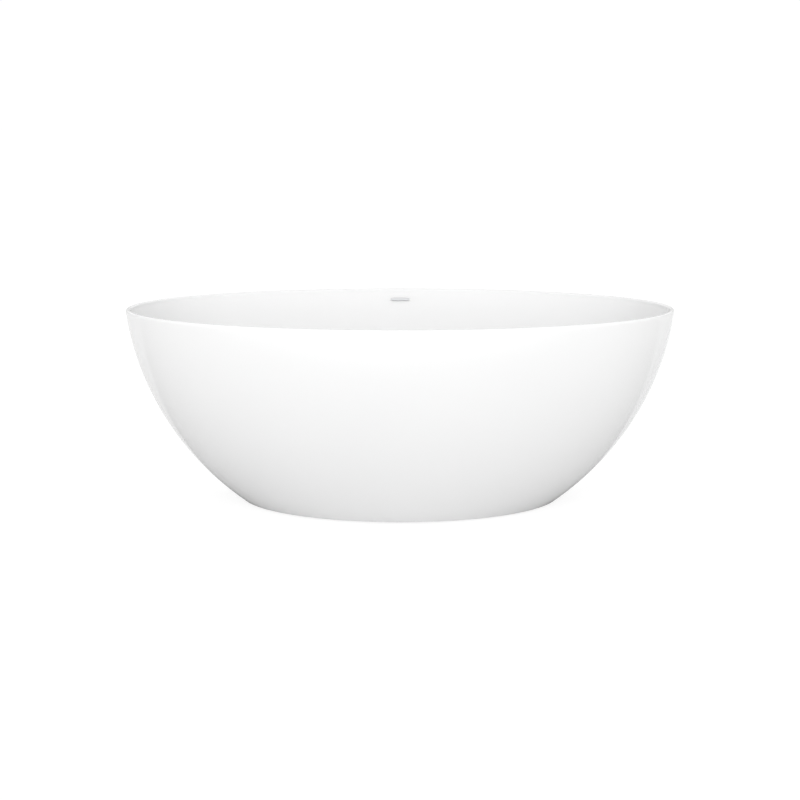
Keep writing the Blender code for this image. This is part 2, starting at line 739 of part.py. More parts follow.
def overflow_bar():
    """The visible bar, held off the wall by two posts that reach the bridge behind it."""
    half = BAR_HEIGHT / 2
    front = -BAR_STAND_OFF - BAR_THICKNESS
    mesh = wall_slab(
        "overflow_bar", basin_front, front, -BAR_STAND_OFF, SLOT_Z - half, SLOT_Z + half, BAR_LENGTH
    )
    bar = add_part("overflow_bar", mesh, CHROME)
    edge = bar.modifiers.new("edges", "BEVEL")
    edge.width = BAR_EDGE
    edge.segments = 2
    start = basin_front(SLOT_Z) - BAR_STAND_OFF - BAR_THICKNESS / 2
    end = basin_back(SLOT_Z) + GAP * 3 + OVERFLOW_GASKET + HOUSING_WALL + BRIDGE_THICKNESS
    for side in (-1, 1):
        name = f"bar_post_{side}"
        post = cylinder_mesh(name, POST_RADIUS, end - start, "Y", sides=10)
        join(bar, add_cutter(name, post, (side * POST_SPACING / 2, (start + end) / 2, SLOT_Z)))


def overflow_housing():
    near = 2 * GAP + OVERFLOW_GASKET
    high = SLOT_Z + HOUSING_ABOVE
    low = hose_top().z + GAP
    rear = HOUSING_TO_SKIRT + rear_drop(HOUSING_WIDTH / 2)

    def shell(inset):
        top = high - inset
        bottom = low + inset
        return [
            (basin_back(bottom) + near + inset, bottom),
            (skirt_back(bottom) - rear - inset, bottom),
            (skirt_back(top) - rear - inset, top),
            (basin_back(top) + near + inset, top),
        ]

    mesh = across(flat_mesh("overflow_housing", [shell(0)], HOUSING_WIDTH))
    housing = add_part("overflow_housing", mesh, MOULDED, smooth=False)
    spigot_y = hose_top()[1]
    overlap = HOUSING_WALL / 2
    spigot = cylinder_mesh("housing_spigot", SPIGOT_RADIUS, SPIGOT_LENGTH + overlap)
    middle = low + overlap - (SPIGOT_LENGTH + overlap) / 2
    join(housing, add_cutter("housing_spigot", spigot, (0, spigot_y, middle)))
    inside = across(flat_mesh("housing_inside", [shell(HOUSING_WALL)], HOUSING_WIDTH - 2 * HOUSING_WALL))
    cut(housing, add_cutter("housing_inside", inside))
    bore = cylinder_mesh("housing_bore", SPIGOT_RADIUS - HOUSING_WALL, 2 * SPIGOT_LENGTH)
    cut(housing, add_cutter("housing_bore", bore, (0, spigot_y, low + HOUSING_WALL * 2 - SPIGOT_LENGTH)))
    window = box_mesh("housing_window", (SLOT_LENGTH, 4 * HOUSING_WALL, SLOT_HEIGHT))
    cut(housing, add_cutter("housing_window", window, (0, basin_back(SLOT_Z) + near, SLOT_Z)))


def overflow_clamp():
    gasket = wall_slab(
        "overflow_gasket", basin_back, GAP, GAP + OVERFLOW_GASKET,
        SLOT_Z - HOUSING_ABOVE, SLOT_Z + HOUSING_ABOVE, HOUSING_WIDTH - 2 * HOUSING_WALL,
    )
    seal = add_part("overflow_gasket", gasket, RUBBER, smooth=False)
    cut(seal, slot_cutter("gasket_slot"))
    near = 3 * GAP + OVERFLOW_GASKET + HOUSING_WALL
    half = BRIDGE_HEIGHT / 2
    strip = wall_slab(
        "overflow_bridge", basin_back, near, near + BRIDGE_THICKNESS,
        SLOT_Z - half, SLOT_Z + half, POST_SPACING + 2 * BRIDGE_PAST_POST,
    )
    bridge = add_part("overflow_bridge", strip, STEEL, smooth=False)
    for side in (-1, 1):
        name = f"bridge_hole_{side}"
        hole = cylinder_mesh(name, POST_RADIUS + GAP, 8 * BRIDGE_THICKNESS, "Y", sides=10)
        middle = basin_back(SLOT_Z) + near
        cut(bridge, add_cutter(name, hole, (side * POST_SPACING / 2, middle, SLOT_Z)))
    window = (POST_SPACING - BRIDGE_HEIGHT, 8 * BRIDGE_THICKNESS, BRIDGE_HEIGHT - 2 * BRIDGE_THICKNESS)
    water = box_mesh("bridge_window", window)
    cut(bridge, add_cutter("bridge_window", water, (0, basin_back(SLOT_Z) + near, SLOT_Z)))


def hose_top():
    """The hose's upper end: the highest place under the slot where its clip fits between the skins."""
    clip = HOSE_RADIUS + GAP + CLIP_BAND
    z = SLOT_Z - HOUSING_BELOW
    while skirt_back(z - SPIGOT_LENGTH) - basin_back(z) < 2 * (clip + CLIP_TO_SKIN):
        z -= 0.001
    return Vector((0, skirt_back(z - SPIGOT_LENGTH) - clip - CLIP_TO_SKIN, z))


def hose_route():
    """Down between the skins beside the skirt, then under the rear rail to the waste."""
    top = hose_top()
    low_bend = PORT_Z + HOSE_BEND_RISE
    beside = HOSE_RADIUS + HOSE_TO_SKIRT
    points = [top, top - Vector((0, 0, SPIGOT_LENGTH))]
    for share in (0.30, 0.55, 0.80):
        z = top.z + (low_bend - top.z) * share
        y = min(top.y, skirt_back(z) - beside - HOSE_TO_SKIRT * share * 4)
        points.append(Vector((0, y, z)))
    inlet = WASTE_RADIUS + GAP
    under_rail = RAIL_Y + RAIL_SIZE
    points.append(Vector((0, under_rail + HOSE_BEND_REACH, low_bend)))
    points.append(Vector((0, under_rail, PORT_Z)))
    points.append(Vector((0, inlet + SPIGOT_LENGTH, PORT_Z)))
    points.append(Vector((0, inlet, PORT_Z)))
    return smooth_path(points, per_span=5)


def smooth_path(points, per_span):
    """A Catmull-Rom curve through the points, with its first and last runs straight."""
    path = [points[0]]
    for before, start, end, after in zip(points, points[1:], points[2:], points[3:]):
        for step in range(per_span):
            t = step / per_span
            path.append(0.5 * (
                2 * start
                + (end - before) * t
                + (2 * before - 5 * start + 4 * end - after) * t**2
                + (3 * start - before - 3 * end + after) * t**3
            ))
    return path + points[-2:]


def overflow_hose():
    route = hose_route()
    sides = HOSE_SIDES // 2 - 2
    hose = tube_curve("overflow_hose", route, HOSE_RADIUS, HOSE, resolution=sides, capped=False)
    thicken(hose, HOSE_WALL)
    inner = HOSE_RADIUS + GAP
    outer = inner + CLIP_BAND
    half = CLIP_WIDTH / 2
    profile = [(outer, half), (outer, -half), (inner, -half), (inner, half)]
    top = route[0] - Vector((0, 0, SPIGOT_LENGTH / 2))
    low = route[-1] + Vector((0, SPIGOT_LENGTH / 2, 0))
    for name, place, turn in (("hose_clip_top", top, 0), ("hose_clip_bottom", low, pi / 2)):
        clip = turned(name, profile, STEEL, place, steps=16)
        clip.rotation_euler = (turn, 0, 0)
        knuckle = box_mesh(f"{name}_screw", (CLIP_SCREW_WIDTH, CLIP_SCREW_LENGTH, CLIP_WIDTH))
        housing = add_cutter(f"{name}_screw", knuckle, place)
        housing.rotation_euler = (turn, 0, 0)
        housing.location.x += inner + CLIP_SCREW_WIDTH / 2 + CLIP_BAND / 3
        join(clip, housing)


# ---- frame and feet

def base_board():
    outline = rounded_rectangle(
        2 * (RAIL_HALF + BOARD_OVERHANG), 2 * (RAIL_Y + RAIL_SIZE / 2 + BOARD_OVERHANG), BOARD_CORNER
    )
    hole = polygon(RECESS_RADIUS + BOARD_TO_RECESS, TURN_STEPS)
    mesh = flat_mesh("base_board", [outline, hole], BOARD_THICKNESS)
    board = add_part("base_board", mesh, BOARD, (0, 0, (BOARD_TOP + BOARD_UNDER) / 2), smooth=False)
    for name, (sx, sy) in FOOT_PLACES.items():
        pilot = cylinder_mesh(f"pilot_{name}", SCREW_RADIUS + GAP, 2 * (SCREW_BITE + GAP), sides=12)
        cut(board, add_cutter(f"pilot_{name}", pilot, (sx * SCREW_X, sy * RAIL_Y, BOARD_UNDER)))


def square_tube(name, length, axis, place):
    inside = RAIL_SIZE - 2 * RAIL_WALL
    outlines = [rectangle(RAIL_SIZE, RAIL_SIZE), rectangle(inside, inside)]
    mesh = across(flat_mesh(name, outlines, length))
    if axis == "Y":
        mesh.transform(Matrix.Rotation(pi / 2, 4, "Z"))
    return add_part(name, mesh, PAINTED, place, smooth=False)


def frame():
    level = (RAIL_TOP + RAIL_UNDER) / 2
    for name, side in (("front_rail", -1), ("rear_rail", 1)):
        rail = square_tube(name, 2 * RAIL_HALF, "X", (0, side * RAIL_Y, level))
        for end in (-1, 1):
            hole = cylinder_mesh(f"{name}_hole", SCREW_RADIUS + GAP, 2 * RAIL_SIZE, sides=12)
            cut(rail, add_cutter(f"{name}_hole_{end}", hole, (end * SCREW_X, side * RAIL_Y, level)))
    span = 2 * RAIL_Y - RAIL_SIZE - 2 * GAP
    end_x = RAIL_HALF - RAIL_SIZE / 2
    places = {
        "left_end": -end_x,
        "left_middle": -MID_MEMBER_X,
        "right_middle": MID_MEMBER_X,
        "right_end": end_x,
    }
    for name, x in places.items():
        square_tube(f"cross_member_{name}", span, "Y", (x, 0, level))


def board_screws():
    head_top = RAIL_UNDER - GAP
    tip = BOARD_UNDER + SCREW_BITE
    profile = [
        (0, tip),
        (SCREW_RADIUS, tip - SCREW_POINT),
        (SCREW_RADIUS, head_top),
        (SCREW_HEAD_RADIUS, head_top),
        (SCREW_HEAD_RADIUS, head_top - SCREW_HEAD_HEIGHT / 2),
        (SCREW_HEAD_RADIUS / 2, head_top - SCREW_HEAD_HEIGHT),
        (0, head_top - SCREW_HEAD_HEIGHT),
    ]
    for name, (sx, sy) in FOOT_PLACES.items():
        turned(f"board_screw_{name}", profile, STEEL, (sx * SCREW_X, sy * RAIL_Y, 0), closed=False, steps=10)


def skirt_straps():
    """Straps welded to the rails, each bonded to the skirt's lip through a pad."""
    lip_middle = BASE_WIDTH / 2 - LIP_WIDTH / 2
    on_lip = lip_middle * sqrt(1 - (STRAP_X / (BASE_LENGTH / 2 - LIP_WIDTH / 2)) ** 2)
    rail_side = RAIL_Y + RAIL_SIZE / 2 + GAP
    sole = LIP_TOP + BOND_PAD + 2 * GAP + STRAP_THICKNESS
    heel = on_lip - STRAP_FOOT / 2
    path = [
        (rail_side + STRAP_THICKNESS, RAIL_TOP - STRAP_TO_RAIL_EDGE),
        (rail_side + STRAP_THICKNESS, RAIL_UNDER + STRAP_TO_RAIL_EDGE),
        (heel, sole),
        (on_lip + STRAP_FOOT / 2, sole),
    ]
    for name, (sx, sy) in FOOT_PLACES.items():
        route = [(sy * y, z) for y, z in path]
        if sy > 0:
            route = route[::-1]
        place = (sx * STRAP_X, 0, 0)
        sheet_strip(f"skirt_strap_{name}", route[::-1], STRAP_WIDTH, STRAP_THICKNESS, PAINTED, place)
        size = (STRAP_WIDTH - 2 * BOND_PAD_INSET, STRAP_FOOT - 2 * BOND_PAD_INSET, BOND_PAD)
        pad = box_mesh(f"strap_pad_{name}", size)
        middle = LIP_TOP + GAP + BOND_PAD / 2
        add_part(f"strap_pad_{name}", pad, SILICONE, (sx * STRAP_X, sy * on_lip, middle), smooth=False)


def feet():
    """Each foot's stud and pad slide through the plate and nut on the frame."""
    rail_side = FOOT_Y - STUD_TO_PLATE - PLATE_THICKNESS
    leg = RAIL_UNDER + PLATE_THICKNESS
    path = [(rail_side + PLATE_THICKNESS, RAIL_TOP), (rail_side + PLATE_THICKNESS, leg),
            (FOOT_Y + STUD_TO_PLATE, leg)]
    stud_foot = PAD_HEIGHT - PAD_SOCKET + GAP
    hex_under = PAD_HEIGHT + GAP
    pad = [
        (0, PAD_HEIGHT - PAD_SOCKET),
        (STUD_RADIUS + GAP, PAD_HEIGHT - PAD_SOCKET),
        (STUD_RADIUS + GAP, PAD_HEIGHT),
        (PAD_RADIUS * 0.55, PAD_HEIGHT),
        (PAD_RADIUS, PAD_HEIGHT * 0.45),
        (PAD_RADIUS, 0),
        (0, 0),
    ]
    nut = [polygon(FOOT_NUT_RADIUS, 6), polygon(STUD_RADIUS + RUNNING, 16)]
    for name, (sx, sy) in FOOT_PLACES.items():
        x = sx * FOOT_X
        route = [(sy * y, z) for y, z in path]
        if sy < 0:
            route = route[::-1]
        plate = sheet_strip(f"foot_plate_{name}", route, PLATE_WIDTH, PLATE_THICKNESS, PAINTED, (x, 0, 0))
        hole = cylinder_mesh(f"plate_hole_{name}", STUD_RADIUS + RUNNING, 4 * PLATE_THICKNESS, sides=16)
        cut(plate, add_cutter(f"plate_hole_{name}", hole, (x, sy * FOOT_Y, leg)))
        mesh = flat_mesh(f"foot_nut_{name}", nut, FOOT_NUT_HEIGHT)
        add_part(f"foot_nut_{name}", mesh, STEEL,
                 (x, sy * FOOT_Y, leg + GAP + FOOT_NUT_HEIGHT / 2), smooth=False)
        turned(f"foot_pad_{name}", pad, RUBBER, (x, sy * FOOT_Y, 0), closed=False)
        place = (x, sy * FOOT_Y, 0)
        rod = cylinder_mesh(f"foot_stud_{name}", STUD_RADIUS, STUD_LENGTH, sides=16)
        rod.transform(Matrix.Translation((0, 0, stud_foot + STUD_LENGTH / 2)))
        stud = add_part(f"foot_stud_{name}", rod, STEEL, place)
        hexagon = cylinder_mesh(f"stud_hex_{name}", STUD_HEX_RADIUS, STUD_HEX_HEIGHT, sides=6)
        middle = hex_under + STUD_HEX_HEIGHT / 2
        join(stud, add_cutter(f"stud_hex_{name}", hexagon, (x, sy * FOOT_Y, middle)))


def main():
    outer_skirt()
    inner_basin()
    rim_bonding_bead()
    drain_flange()
    drain_seals()
    waste_body()
    tailpiece()
    plug()
    overflow_bar()
    overflow_clamp()
    overflow_housing()
    overflow_hose()
    base_board()
    frame()
    board_screws()
    skirt_straps()
    feet()


main()
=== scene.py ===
import json
from math import cos, pi, radians, sin, sqrt, tan

import bmesh
import bpy
from mathutils import Matrix, Vector


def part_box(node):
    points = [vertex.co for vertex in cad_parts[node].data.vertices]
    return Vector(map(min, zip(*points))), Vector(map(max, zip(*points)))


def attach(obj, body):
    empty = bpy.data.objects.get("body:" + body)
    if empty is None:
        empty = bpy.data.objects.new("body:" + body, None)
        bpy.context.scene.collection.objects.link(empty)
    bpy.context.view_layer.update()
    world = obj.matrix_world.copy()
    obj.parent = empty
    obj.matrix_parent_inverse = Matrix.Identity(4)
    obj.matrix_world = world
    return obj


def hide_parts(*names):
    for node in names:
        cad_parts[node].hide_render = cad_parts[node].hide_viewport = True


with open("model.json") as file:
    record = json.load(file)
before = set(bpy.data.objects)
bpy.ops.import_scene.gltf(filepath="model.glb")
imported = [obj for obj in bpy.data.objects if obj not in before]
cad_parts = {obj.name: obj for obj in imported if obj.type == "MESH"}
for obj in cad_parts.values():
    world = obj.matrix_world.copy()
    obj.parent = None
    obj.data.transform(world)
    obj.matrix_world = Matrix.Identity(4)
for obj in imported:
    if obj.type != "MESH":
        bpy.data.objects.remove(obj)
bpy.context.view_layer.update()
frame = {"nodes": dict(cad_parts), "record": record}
nodes = frame["nodes"]
places = ("front_left", "front_right", "rear_left", "rear_right")
clearance = 0.0003  # between pieces that touch, turn or slide in each other
print("frame loaded,", len(nodes), "CAD nodes")


def corners(node):
    low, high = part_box(node)
    return Vector(low), Vector(high)


def middle(node):
    low, high = corners(node)
    return (low + high) / 2


# shader sockets that arithmetic can be written on
class Wire:
    def __init__(self, finish, socket):
        self.finish = finish
        self.socket = socket

    def join(self, operation, other, turned=False):
        pair = (other, self) if turned else (self, other)
        kinds = [one.socket.type for one in pair if isinstance(one, Wire)]
        if "RGBA" in kinds or "VECTOR" in kinds:
            pair = [one if isinstance(one, (Wire, tuple)) else (one,) * 3 for one in pair]
        if "RGBA" in kinds:
            return self.finish.mix(1.0, *pair, blend=operation)
        kind = "ShaderNodeVectorMath" if "VECTOR" in kinds else "ShaderNodeMath"
        return self.finish.node(kind, {"operation": operation}, dict(enumerate(pair)))

    def __add__(self, other):
        return self.join("ADD", other)

    def __sub__(self, other):
        return self.join("SUBTRACT", other)

    def __rsub__(self, other):
        return self.join("SUBTRACT", other, turned=True)

    def __mul__(self, other):
        return self.join("MULTIPLY", other)

    __radd__ = __add__
    __rmul__ = __mul__

    def ramp(self, low, high, start=0.0, end=1.0):
        settings = {"interpolation_type": "SMOOTHSTEP"}
        sockets = {"Value": self, "From Min": low, "From Max": high, "To Min": start, "To Max": end}
        return self.finish.node("ShaderNodeMapRange", settings, sockets)

    def part(self, axis):
        return self.finish.node("ShaderNodeSeparateXYZ", {}, {0: self}, out=axis)


# a node tree being filled in: a material's, or the world's
class Finish:
    def __init__(self, block):
        block.use_nodes = True
        self.block = block
        self.tree = block.node_tree
        self.tree.nodes.clear()

    def node(self, kind, settings=None, sockets=None, out=0):
        made = self.tree.nodes.new(kind)
        for key, value in (settings or {}).items():
            setattr(made, key, value)
        for key, value in (sockets or {}).items():
            if isinstance(value, Wire):
                self.tree.links.new(value.socket, made.inputs[key])
            else:
                made.inputs[key].default_value = value
        return Wire(self, made.outputs[out]) if len(made.outputs) else None

    def mix(self, factor, first, second, blend="MIX"):
        made = self.tree.nodes.new("ShaderNodeMix")
        made.data_type = "RGBA"
        made.blend_type = blend
        for key, value in ((0, factor), (6, first), (7, second)):
            if isinstance(value, Wire):
                self.tree.links.new(value.socket, made.inputs[key])
            elif key and len(value) == 3:
                made.inputs[key].default_value = (*value, 1)
            else:
                made.inputs[key].default_value = value
        return Wire(self, made.outputs[2])

    def place(self):
        return self.node("ShaderNodeTexCoord", out=3)

    def noise(self, vector, scale, detail=2.0, roughness=0.5):
        sockets = {"Vector": vector, "Scale": scale, "Detail": detail, "Roughness": roughness}
        return self.node("ShaderNodeTexNoise", {}, sockets)

    def bump(self, height, strength, distance=0.001):
        sockets = {"Height": height, "Strength": strength, "Distance": distance}
        return self.node("ShaderNodeBump", {}, sockets)

    def surface(self, **sockets):
        named = {key.replace("_", " "): value for key, value in sockets.items()}
        for key, value in named.items():
            if isinstance(value, tuple) and len(value) == 3:
                named[key] = (*value, 1)
        shader = self.node("ShaderNodeBsdfPrincipled", {}, named)
        self.node("ShaderNodeOutputMaterial", {}, {"Surface": shader})
        return self.block


def newFinish(name):
    return Finish(bpy.data.materials.new(name))


def makeAcrylic():
    sheet = newFinish("glossAcrylic")
    where = sheet.place()
    flow = sheet.noise(where, 3.0, detail=1.0)  # slow waves left by forming the sheet
    haze = sheet.noise(where, 90.0, detail=3.0)
    white = sheet.mix(flow, (0.885, 0.886, 0.887), (0.905, 0.905, 0.904))
    return sheet.surface(
        Base_Color=white,
        Roughness=0.045 + 0.045 * haze,
        IOR=1.49,
        Coat_Weight=0.25,
        Coat_Roughness=0.03,
        Normal=sheet.bump(flow, 0.25, 0.004),
    )


def makeGlassResin():
    back = newFinish("glassResinBacking")
    where = back.place()
    cells = {"Vector": where * (90, 90, 24)}
    strands = back.node("ShaderNodeTexVoronoi", {"feature": "DISTANCE_TO_EDGE"}, cells)
    blotch = back.noise(where, 14.0, detail=4.0)
    mat = strands.ramp(0.0, 0.12)
    tint = back.mix(blotch, (0.66, 0.65, 0.58), (0.80, 0.79, 0.73))
    return back.surface(
        Base_Color=back.mix(mat * 0.5, tint, (0.83, 0.83, 0.79)),
        Roughness=0.42 + 0.25 * blotch,
        Normal=back.bump(mat * 0.5 + blotch, 0.5, 0.0015),
    )


def makeMetal(name, colour, roughness, spread, grain, coat=0.0):
    metal = newFinish(name)
    where = metal.place()
    smear = metal.noise(where, grain, detail=3.0)
    return metal.surface(
        Base_Color=metal.mix(smear, tuple(0.93 * c for c in colour), colour),
        Metallic=1.0,
        Roughness=roughness + spread * smear,
        Coat_Weight=coat,
        Normal=metal.bump(smear, 0.04, 0.0005),
    )


def makeTurnedBrass():
    brass = newFinish("turnedBrass")
    where = brass.place()
    rings = brass.node("ShaderNodeTexWave", {"bands_direction": "Z"},
                       {"Vector": where, "Scale": 900.0, "Distortion": 0.4})
    tarnish = brass.noise(where, 60.0, detail=4.0)
    return brass.surface(
        Base_Color=brass.mix(tarnish, (0.63, 0.45, 0.21), (0.76, 0.60, 0.33)),
        Metallic=1.0,
        Roughness=0.22 + 0.2 * tarnish,
        Normal=brass.bump(rings, 0.12, 0.0002),
    )


def makeZinc():
    zinc = newFinish("zincPlatedSteel")
    where = zinc.place()
    spangle = zinc.node("ShaderNodeTexVoronoi", {}, {"Vector": where, "Scale": 220.0})
    cloud = zinc.noise(where, 35.0, detail=4.0)
    bright = zinc.mix(spangle, (0.56, 0.58, 0.60), (0.68, 0.69, 0.69))
    return zinc.surface(
        Base_Color=zinc.mix(cloud * 0.35, bright, (0.66, 0.64, 0.56)),
        Metallic=1.0,
        Roughness=0.30 + 0.22 * cloud,
        Normal=zinc.bump(spangle, 0.06, 0.0003),
    )


def makePowderCoat():
    paint = newFinish("blackPowderCoat")
    where = paint.place()
    peel = paint.noise(where, 420.0, detail=2.0)
    wear = paint.noise(where, 18.0, detail=5.0)
    return paint.surface(
        Base_Color=paint.mix(wear, (0.075, 0.077, 0.083), (0.13, 0.133, 0.14)),
        Roughness=0.40 + 0.15 * wear,
        Normal=paint.bump(peel, 0.35, 0.0004),
    )


def makeBoard():
    board = newFinish("sealedFibreboard")
    where = board.place()
    fibre = board.noise(where * (60, 260, 260), 1.0, detail=6.0, roughness=0.65)
    fleck = board.noise(where, 340.0, detail=2.0)
    brown = board.mix(fibre, (0.40, 0.28, 0.16), (0.66, 0.50, 0.32))
    return board.surface(
        Base_Color=board.mix(fleck.ramp(0.62, 0.70) * 0.6, brown, (0.30, 0.20, 0.11)),
        Roughness=0.55 + 0.25 * fibre,
        Normal=board.bump(fibre, 0.25, 0.0006),
    )


def makeSoft(name, dark, light, roughness, grain, depth=0.15):
    soft = newFinish(name)
    where = soft.place()
    fine = soft.noise(where, grain, detail=3.0)
    broad = soft.noise(where, grain / 16, detail=3.0)
    return soft.surface(
        Base_Color=soft.mix(broad, dark, light),
        Roughness=roughness + 0.12 * broad,
        Normal=soft.bump(fine, depth, 0.0004),
    )


# the finish of each of the part's slots, and two that only some pieces have
slotFinish = {
    "white_acrylic": makeAcrylic(),
    "chrome": makeMetal("polishedChrome", (0.82, 0.83, 0.84), 0.05, 0.04, 45.0),
    "brass": makeTurnedBrass(),
    "zinc_steel": makeZinc(),
    "frame_paint": makePowderCoat(),
    "sealed_board": makeBoard(),
    "black_rubber": makeSoft("blackRubber", (0.018, 0.018, 0.019), (0.036, 0.036, 0.038), 0.68, 650.0),
    "bonding": makeSoft("bondingPaste", (0.72, 0.72, 0.68), (0.82, 0.82, 0.79), 0.50, 160.0, depth=0.5),
    "grey_moulding": makeSoft("greyMoulding", (0.25, 0.26, 0.28), (0.31, 0.32, 0.34), 0.34, 380.0),
    "hose_plastic": makeSoft("hosePlastic", (0.62, 0.63, 0.64), (0.70, 0.71, 0.72), 0.42, 240.0),
}
skinFinishes = slotFinish["white_acrylic"], makeGlassResin()  # outside and back
satin = makeMetal("satinChrome", (0.61, 0.62, 0.63), 0.27, 0.08, 700.0)
slotOf = {row["node"]: row["material_slot"] for row in frame["record"]["subparts"]}
for name, node in nodes.items():
    node.data.materials.clear()
    node.data.materials.append(slotFinish[slotOf[name]])
print("finishes made:", len(bpy.data.materials))


creaseAngle = radians(34)


def added(name, data):
    thing = bpy.data.objects.new(name, data)
    bpy.context.scene.collection.objects.link(thing)
    return thing


# a visible piece, in place of a CAD node and with its slot's finish where no others are named
def newPiece(name, mesh, node=None, body="bath", slot=None, finishes=()):
    slot = slot or slotOf[node]
    for finish in finishes or [slotFinish[slot]]:
        mesh.materials.append(finish)
    mesh.shade_smooth()
    mesh.set_sharp_from_angle(angle=creaseAngle)
    piece = added(name, mesh)
    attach(piece, body)
    if node:
        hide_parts(node)
    return piece


def meshFrom(name, build):
    mesh = bpy.data.meshes.new(name)
    shape = bmesh.new()
    build(shape)
    shape.to_mesh(mesh)
    shape.free()
    return mesh


# rings of points joined in order; a ring of one point is a tip
def stitch(shape, rings, closed=False, turnOut=False):
    for ring, below in zip(rings, rings[1:] + (rings[:1] if closed else [])):
        sides = max(len(ring), len(below))
        for i in range(sides):
            j = (i + 1) % sides
            upper = ring[i % len(ring)], ring[j % len(ring)]
            lower = below[i % len(below)], below[j % len(below)]
            shape.faces.new(list(dict.fromkeys((upper[0], lower[0], lower[1], upper[1]))))
    if turnOut:
        bmesh.ops.recalc_face_normals(shape, faces=shape.faces[:])


# rings of (half length, half width, z); a downward run faces outwards
def loftMesh(name, stations, sides, closed=False):
    turns = [2 * pi * i / sides for i in range(sides)]
    circle = [(cos(turn), sin(turn)) for turn in turns]

    def build(shape):
        rings = [[shape.verts.new((a * x, b * y, z)) for x, y in circle] for a, b, z in stations]
        stitch(shape, rings, closed)
    return meshFrom(name, build)


# rings from (radius, z) points, run down the outer side; change(turn, radius, z) gives threads and flats
def turnedMesh(name, profile, sides=96, closed=True, change=None, place=(0, 0, 0)):
    def ringAt(shape, radius, z):
        if radius == 0:
            return [shape.verts.new((0, 0, z))]
        ring = []
        for turn in (2 * pi * i / sides for i in range(sides)):
            r, level = change(turn, radius, z) if change else (radius, z)
            ring.append(shape.verts.new((r * cos(turn), r * sin(turn), level)))
        return ring

    def build(shape):
        stitch(shape, [ringAt(shape, radius, z) for radius, z in profile], closed)
    mesh = meshFrom(name, build)
    mesh.transform(Matrix.Translation(place))
    return mesh


def turnedPiece(name, node, profile, body="bath", **shape):
    return newPiece(name, turnedMesh(name, profile, **shape), node, body=body)


# a line of (radius, z) points with its corners rounded
def softened(points, radius, closed=True, steps=3):
    rounded = []
    for i, point in enumerate(points):
        if not closed and i in (0, len(points) - 1):
            rounded.append(tuple(point))
            continue
        corner = Vector(point)
        before = Vector(points[i - 1]) - corner
        after = Vector(points[(i + 1) % len(points)]) - corner
        reach = min(radius, before.length * 0.45, after.length * 0.45)
        start = corner + before.normalized() * reach
        end = corner + after.normalized() * reach
        for share in (step / steps for step in range(steps + 1)):
            rounded.append(tuple(start.lerp(corner, share).lerp(corner.lerp(end, share), share)))
    return rounded


def threadRows(radius, high, low, pitch, perTurn=6):
    count = round((high - low) / pitch * perTurn)
    return [(radius, high + (low - high) * i / count) for i in range(count + 1)]


# a screw thread on every ring of this radius between the two levels
def threaded(radius, high, low, pitch, depth):
    def change(turn, r, z):
        if r != radius or not low < z < high:
            return r, z
        phase = (z / pitch + turn / (2 * pi)) % 1
        return r - depth * abs(2 * phase - 1), z
    return change


# just inside the flats of a hexagon, where the chamfers of its corners begin
def insideFlats(corner):
    return 0.97 * corner * cos(pi / 6)


# six flats on every ring of this radius, with the corners chamfered above and below the middle
def hexed(corner, middle, also=None):
    def change(turn, r, z):
        if r != corner:
            return also(turn, r, z) if also else (r, z)
        out = corner * cos(pi / 6) / cos(turn % (pi / 3) - pi / 6)
        drop = (out - insideFlats(corner)) * tan(pi / 6)
        return out, z - drop if z > middle else z + drop
    return change


def roundEdges(shape, edges, offset, segments, clamped=False):
    bmesh.ops.bevel(shape, geom=edges, offset=offset, segments=segments, profile=0.5, affect="EDGES",
                    clamp_overlap=clamped)


def nutMesh(name, corner, bore, low, high, place=(0, 0, 0)):
    flat = insideFlats(corner)
    chamfer = 0.08 * bore
    profile = [(bore + chamfer, high), (flat, high), (corner, high), (corner, low), (flat, low)]
    profile += [(bore + chamfer, low), (bore, low + chamfer), (bore, high - chamfer)]
    return turnedMesh(name, profile, sides=72, change=hexed(corner, (low + high) / 2), place=place)


# a box between two corners, with rounded edges
def blockMesh(name, low, high, edge=0.0006, segments=3):
    low, high = Vector(low), Vector(high)

    def build(shape):
        size = Matrix.Diagonal((*(high - low), 1))
        bmesh.ops.create_cube(shape, size=1.0, matrix=Matrix.Translation((low + high) / 2) @ size)
        roundEdges(shape, shape.edges[:], edge, segments)
    return meshFrom(name, build)


def roundedOutline(length, height, radius, steps=8):
    points = []
    for quarter, (sx, sz) in enumerate(((1, 1), (-1, 1), (-1, -1), (1, -1))):
        for turn in (pi / 2 * (quarter + step / steps) for step in range(steps + 1)):
            x = sx * (length / 2 - radius) + radius * cos(turn)
            points.append((x, sz * (height / 2 - radius) + radius * sin(turn)))
    return points


# a round section carried along a path; radiusAt takes the distance gone
def sweepMesh(name, path, radiusAt, sides=24, loop=False):
    def build(shape):
        rings = []
        gone = 0.0
        upright = None
        count = len(path)
        for i, point in enumerate(path):
            after = path[(i + 1) % count] if loop else path[min(i + 1, count - 1)]
            before = path[i - 1] if loop else path[max(i - 1, 0)]
            along = (after - before).normalized()
            upright = along.orthogonal() if upright is None else upright - along * upright.dot(along)
            upright.normalize()
            level = along.cross(upright)
            gone += (point - path[i - 1]).length if i else 0.0
            radius = radiusAt(gone)
            ring = []
            for turn in (2 * pi * side / sides for side in range(sides)):
                ring.append(shape.verts.new(point + radius * (cos(turn) * upright + sin(turn) * level)))
            rings.append(ring)
        stitch(shape, rings, closed=loop, turnOut=True)
    return meshFrom(name, build)


def joined(name, meshes):
    def build(shape):
        for mesh in meshes:
            shape.from_mesh(mesh)
    return meshFrom(name, build)


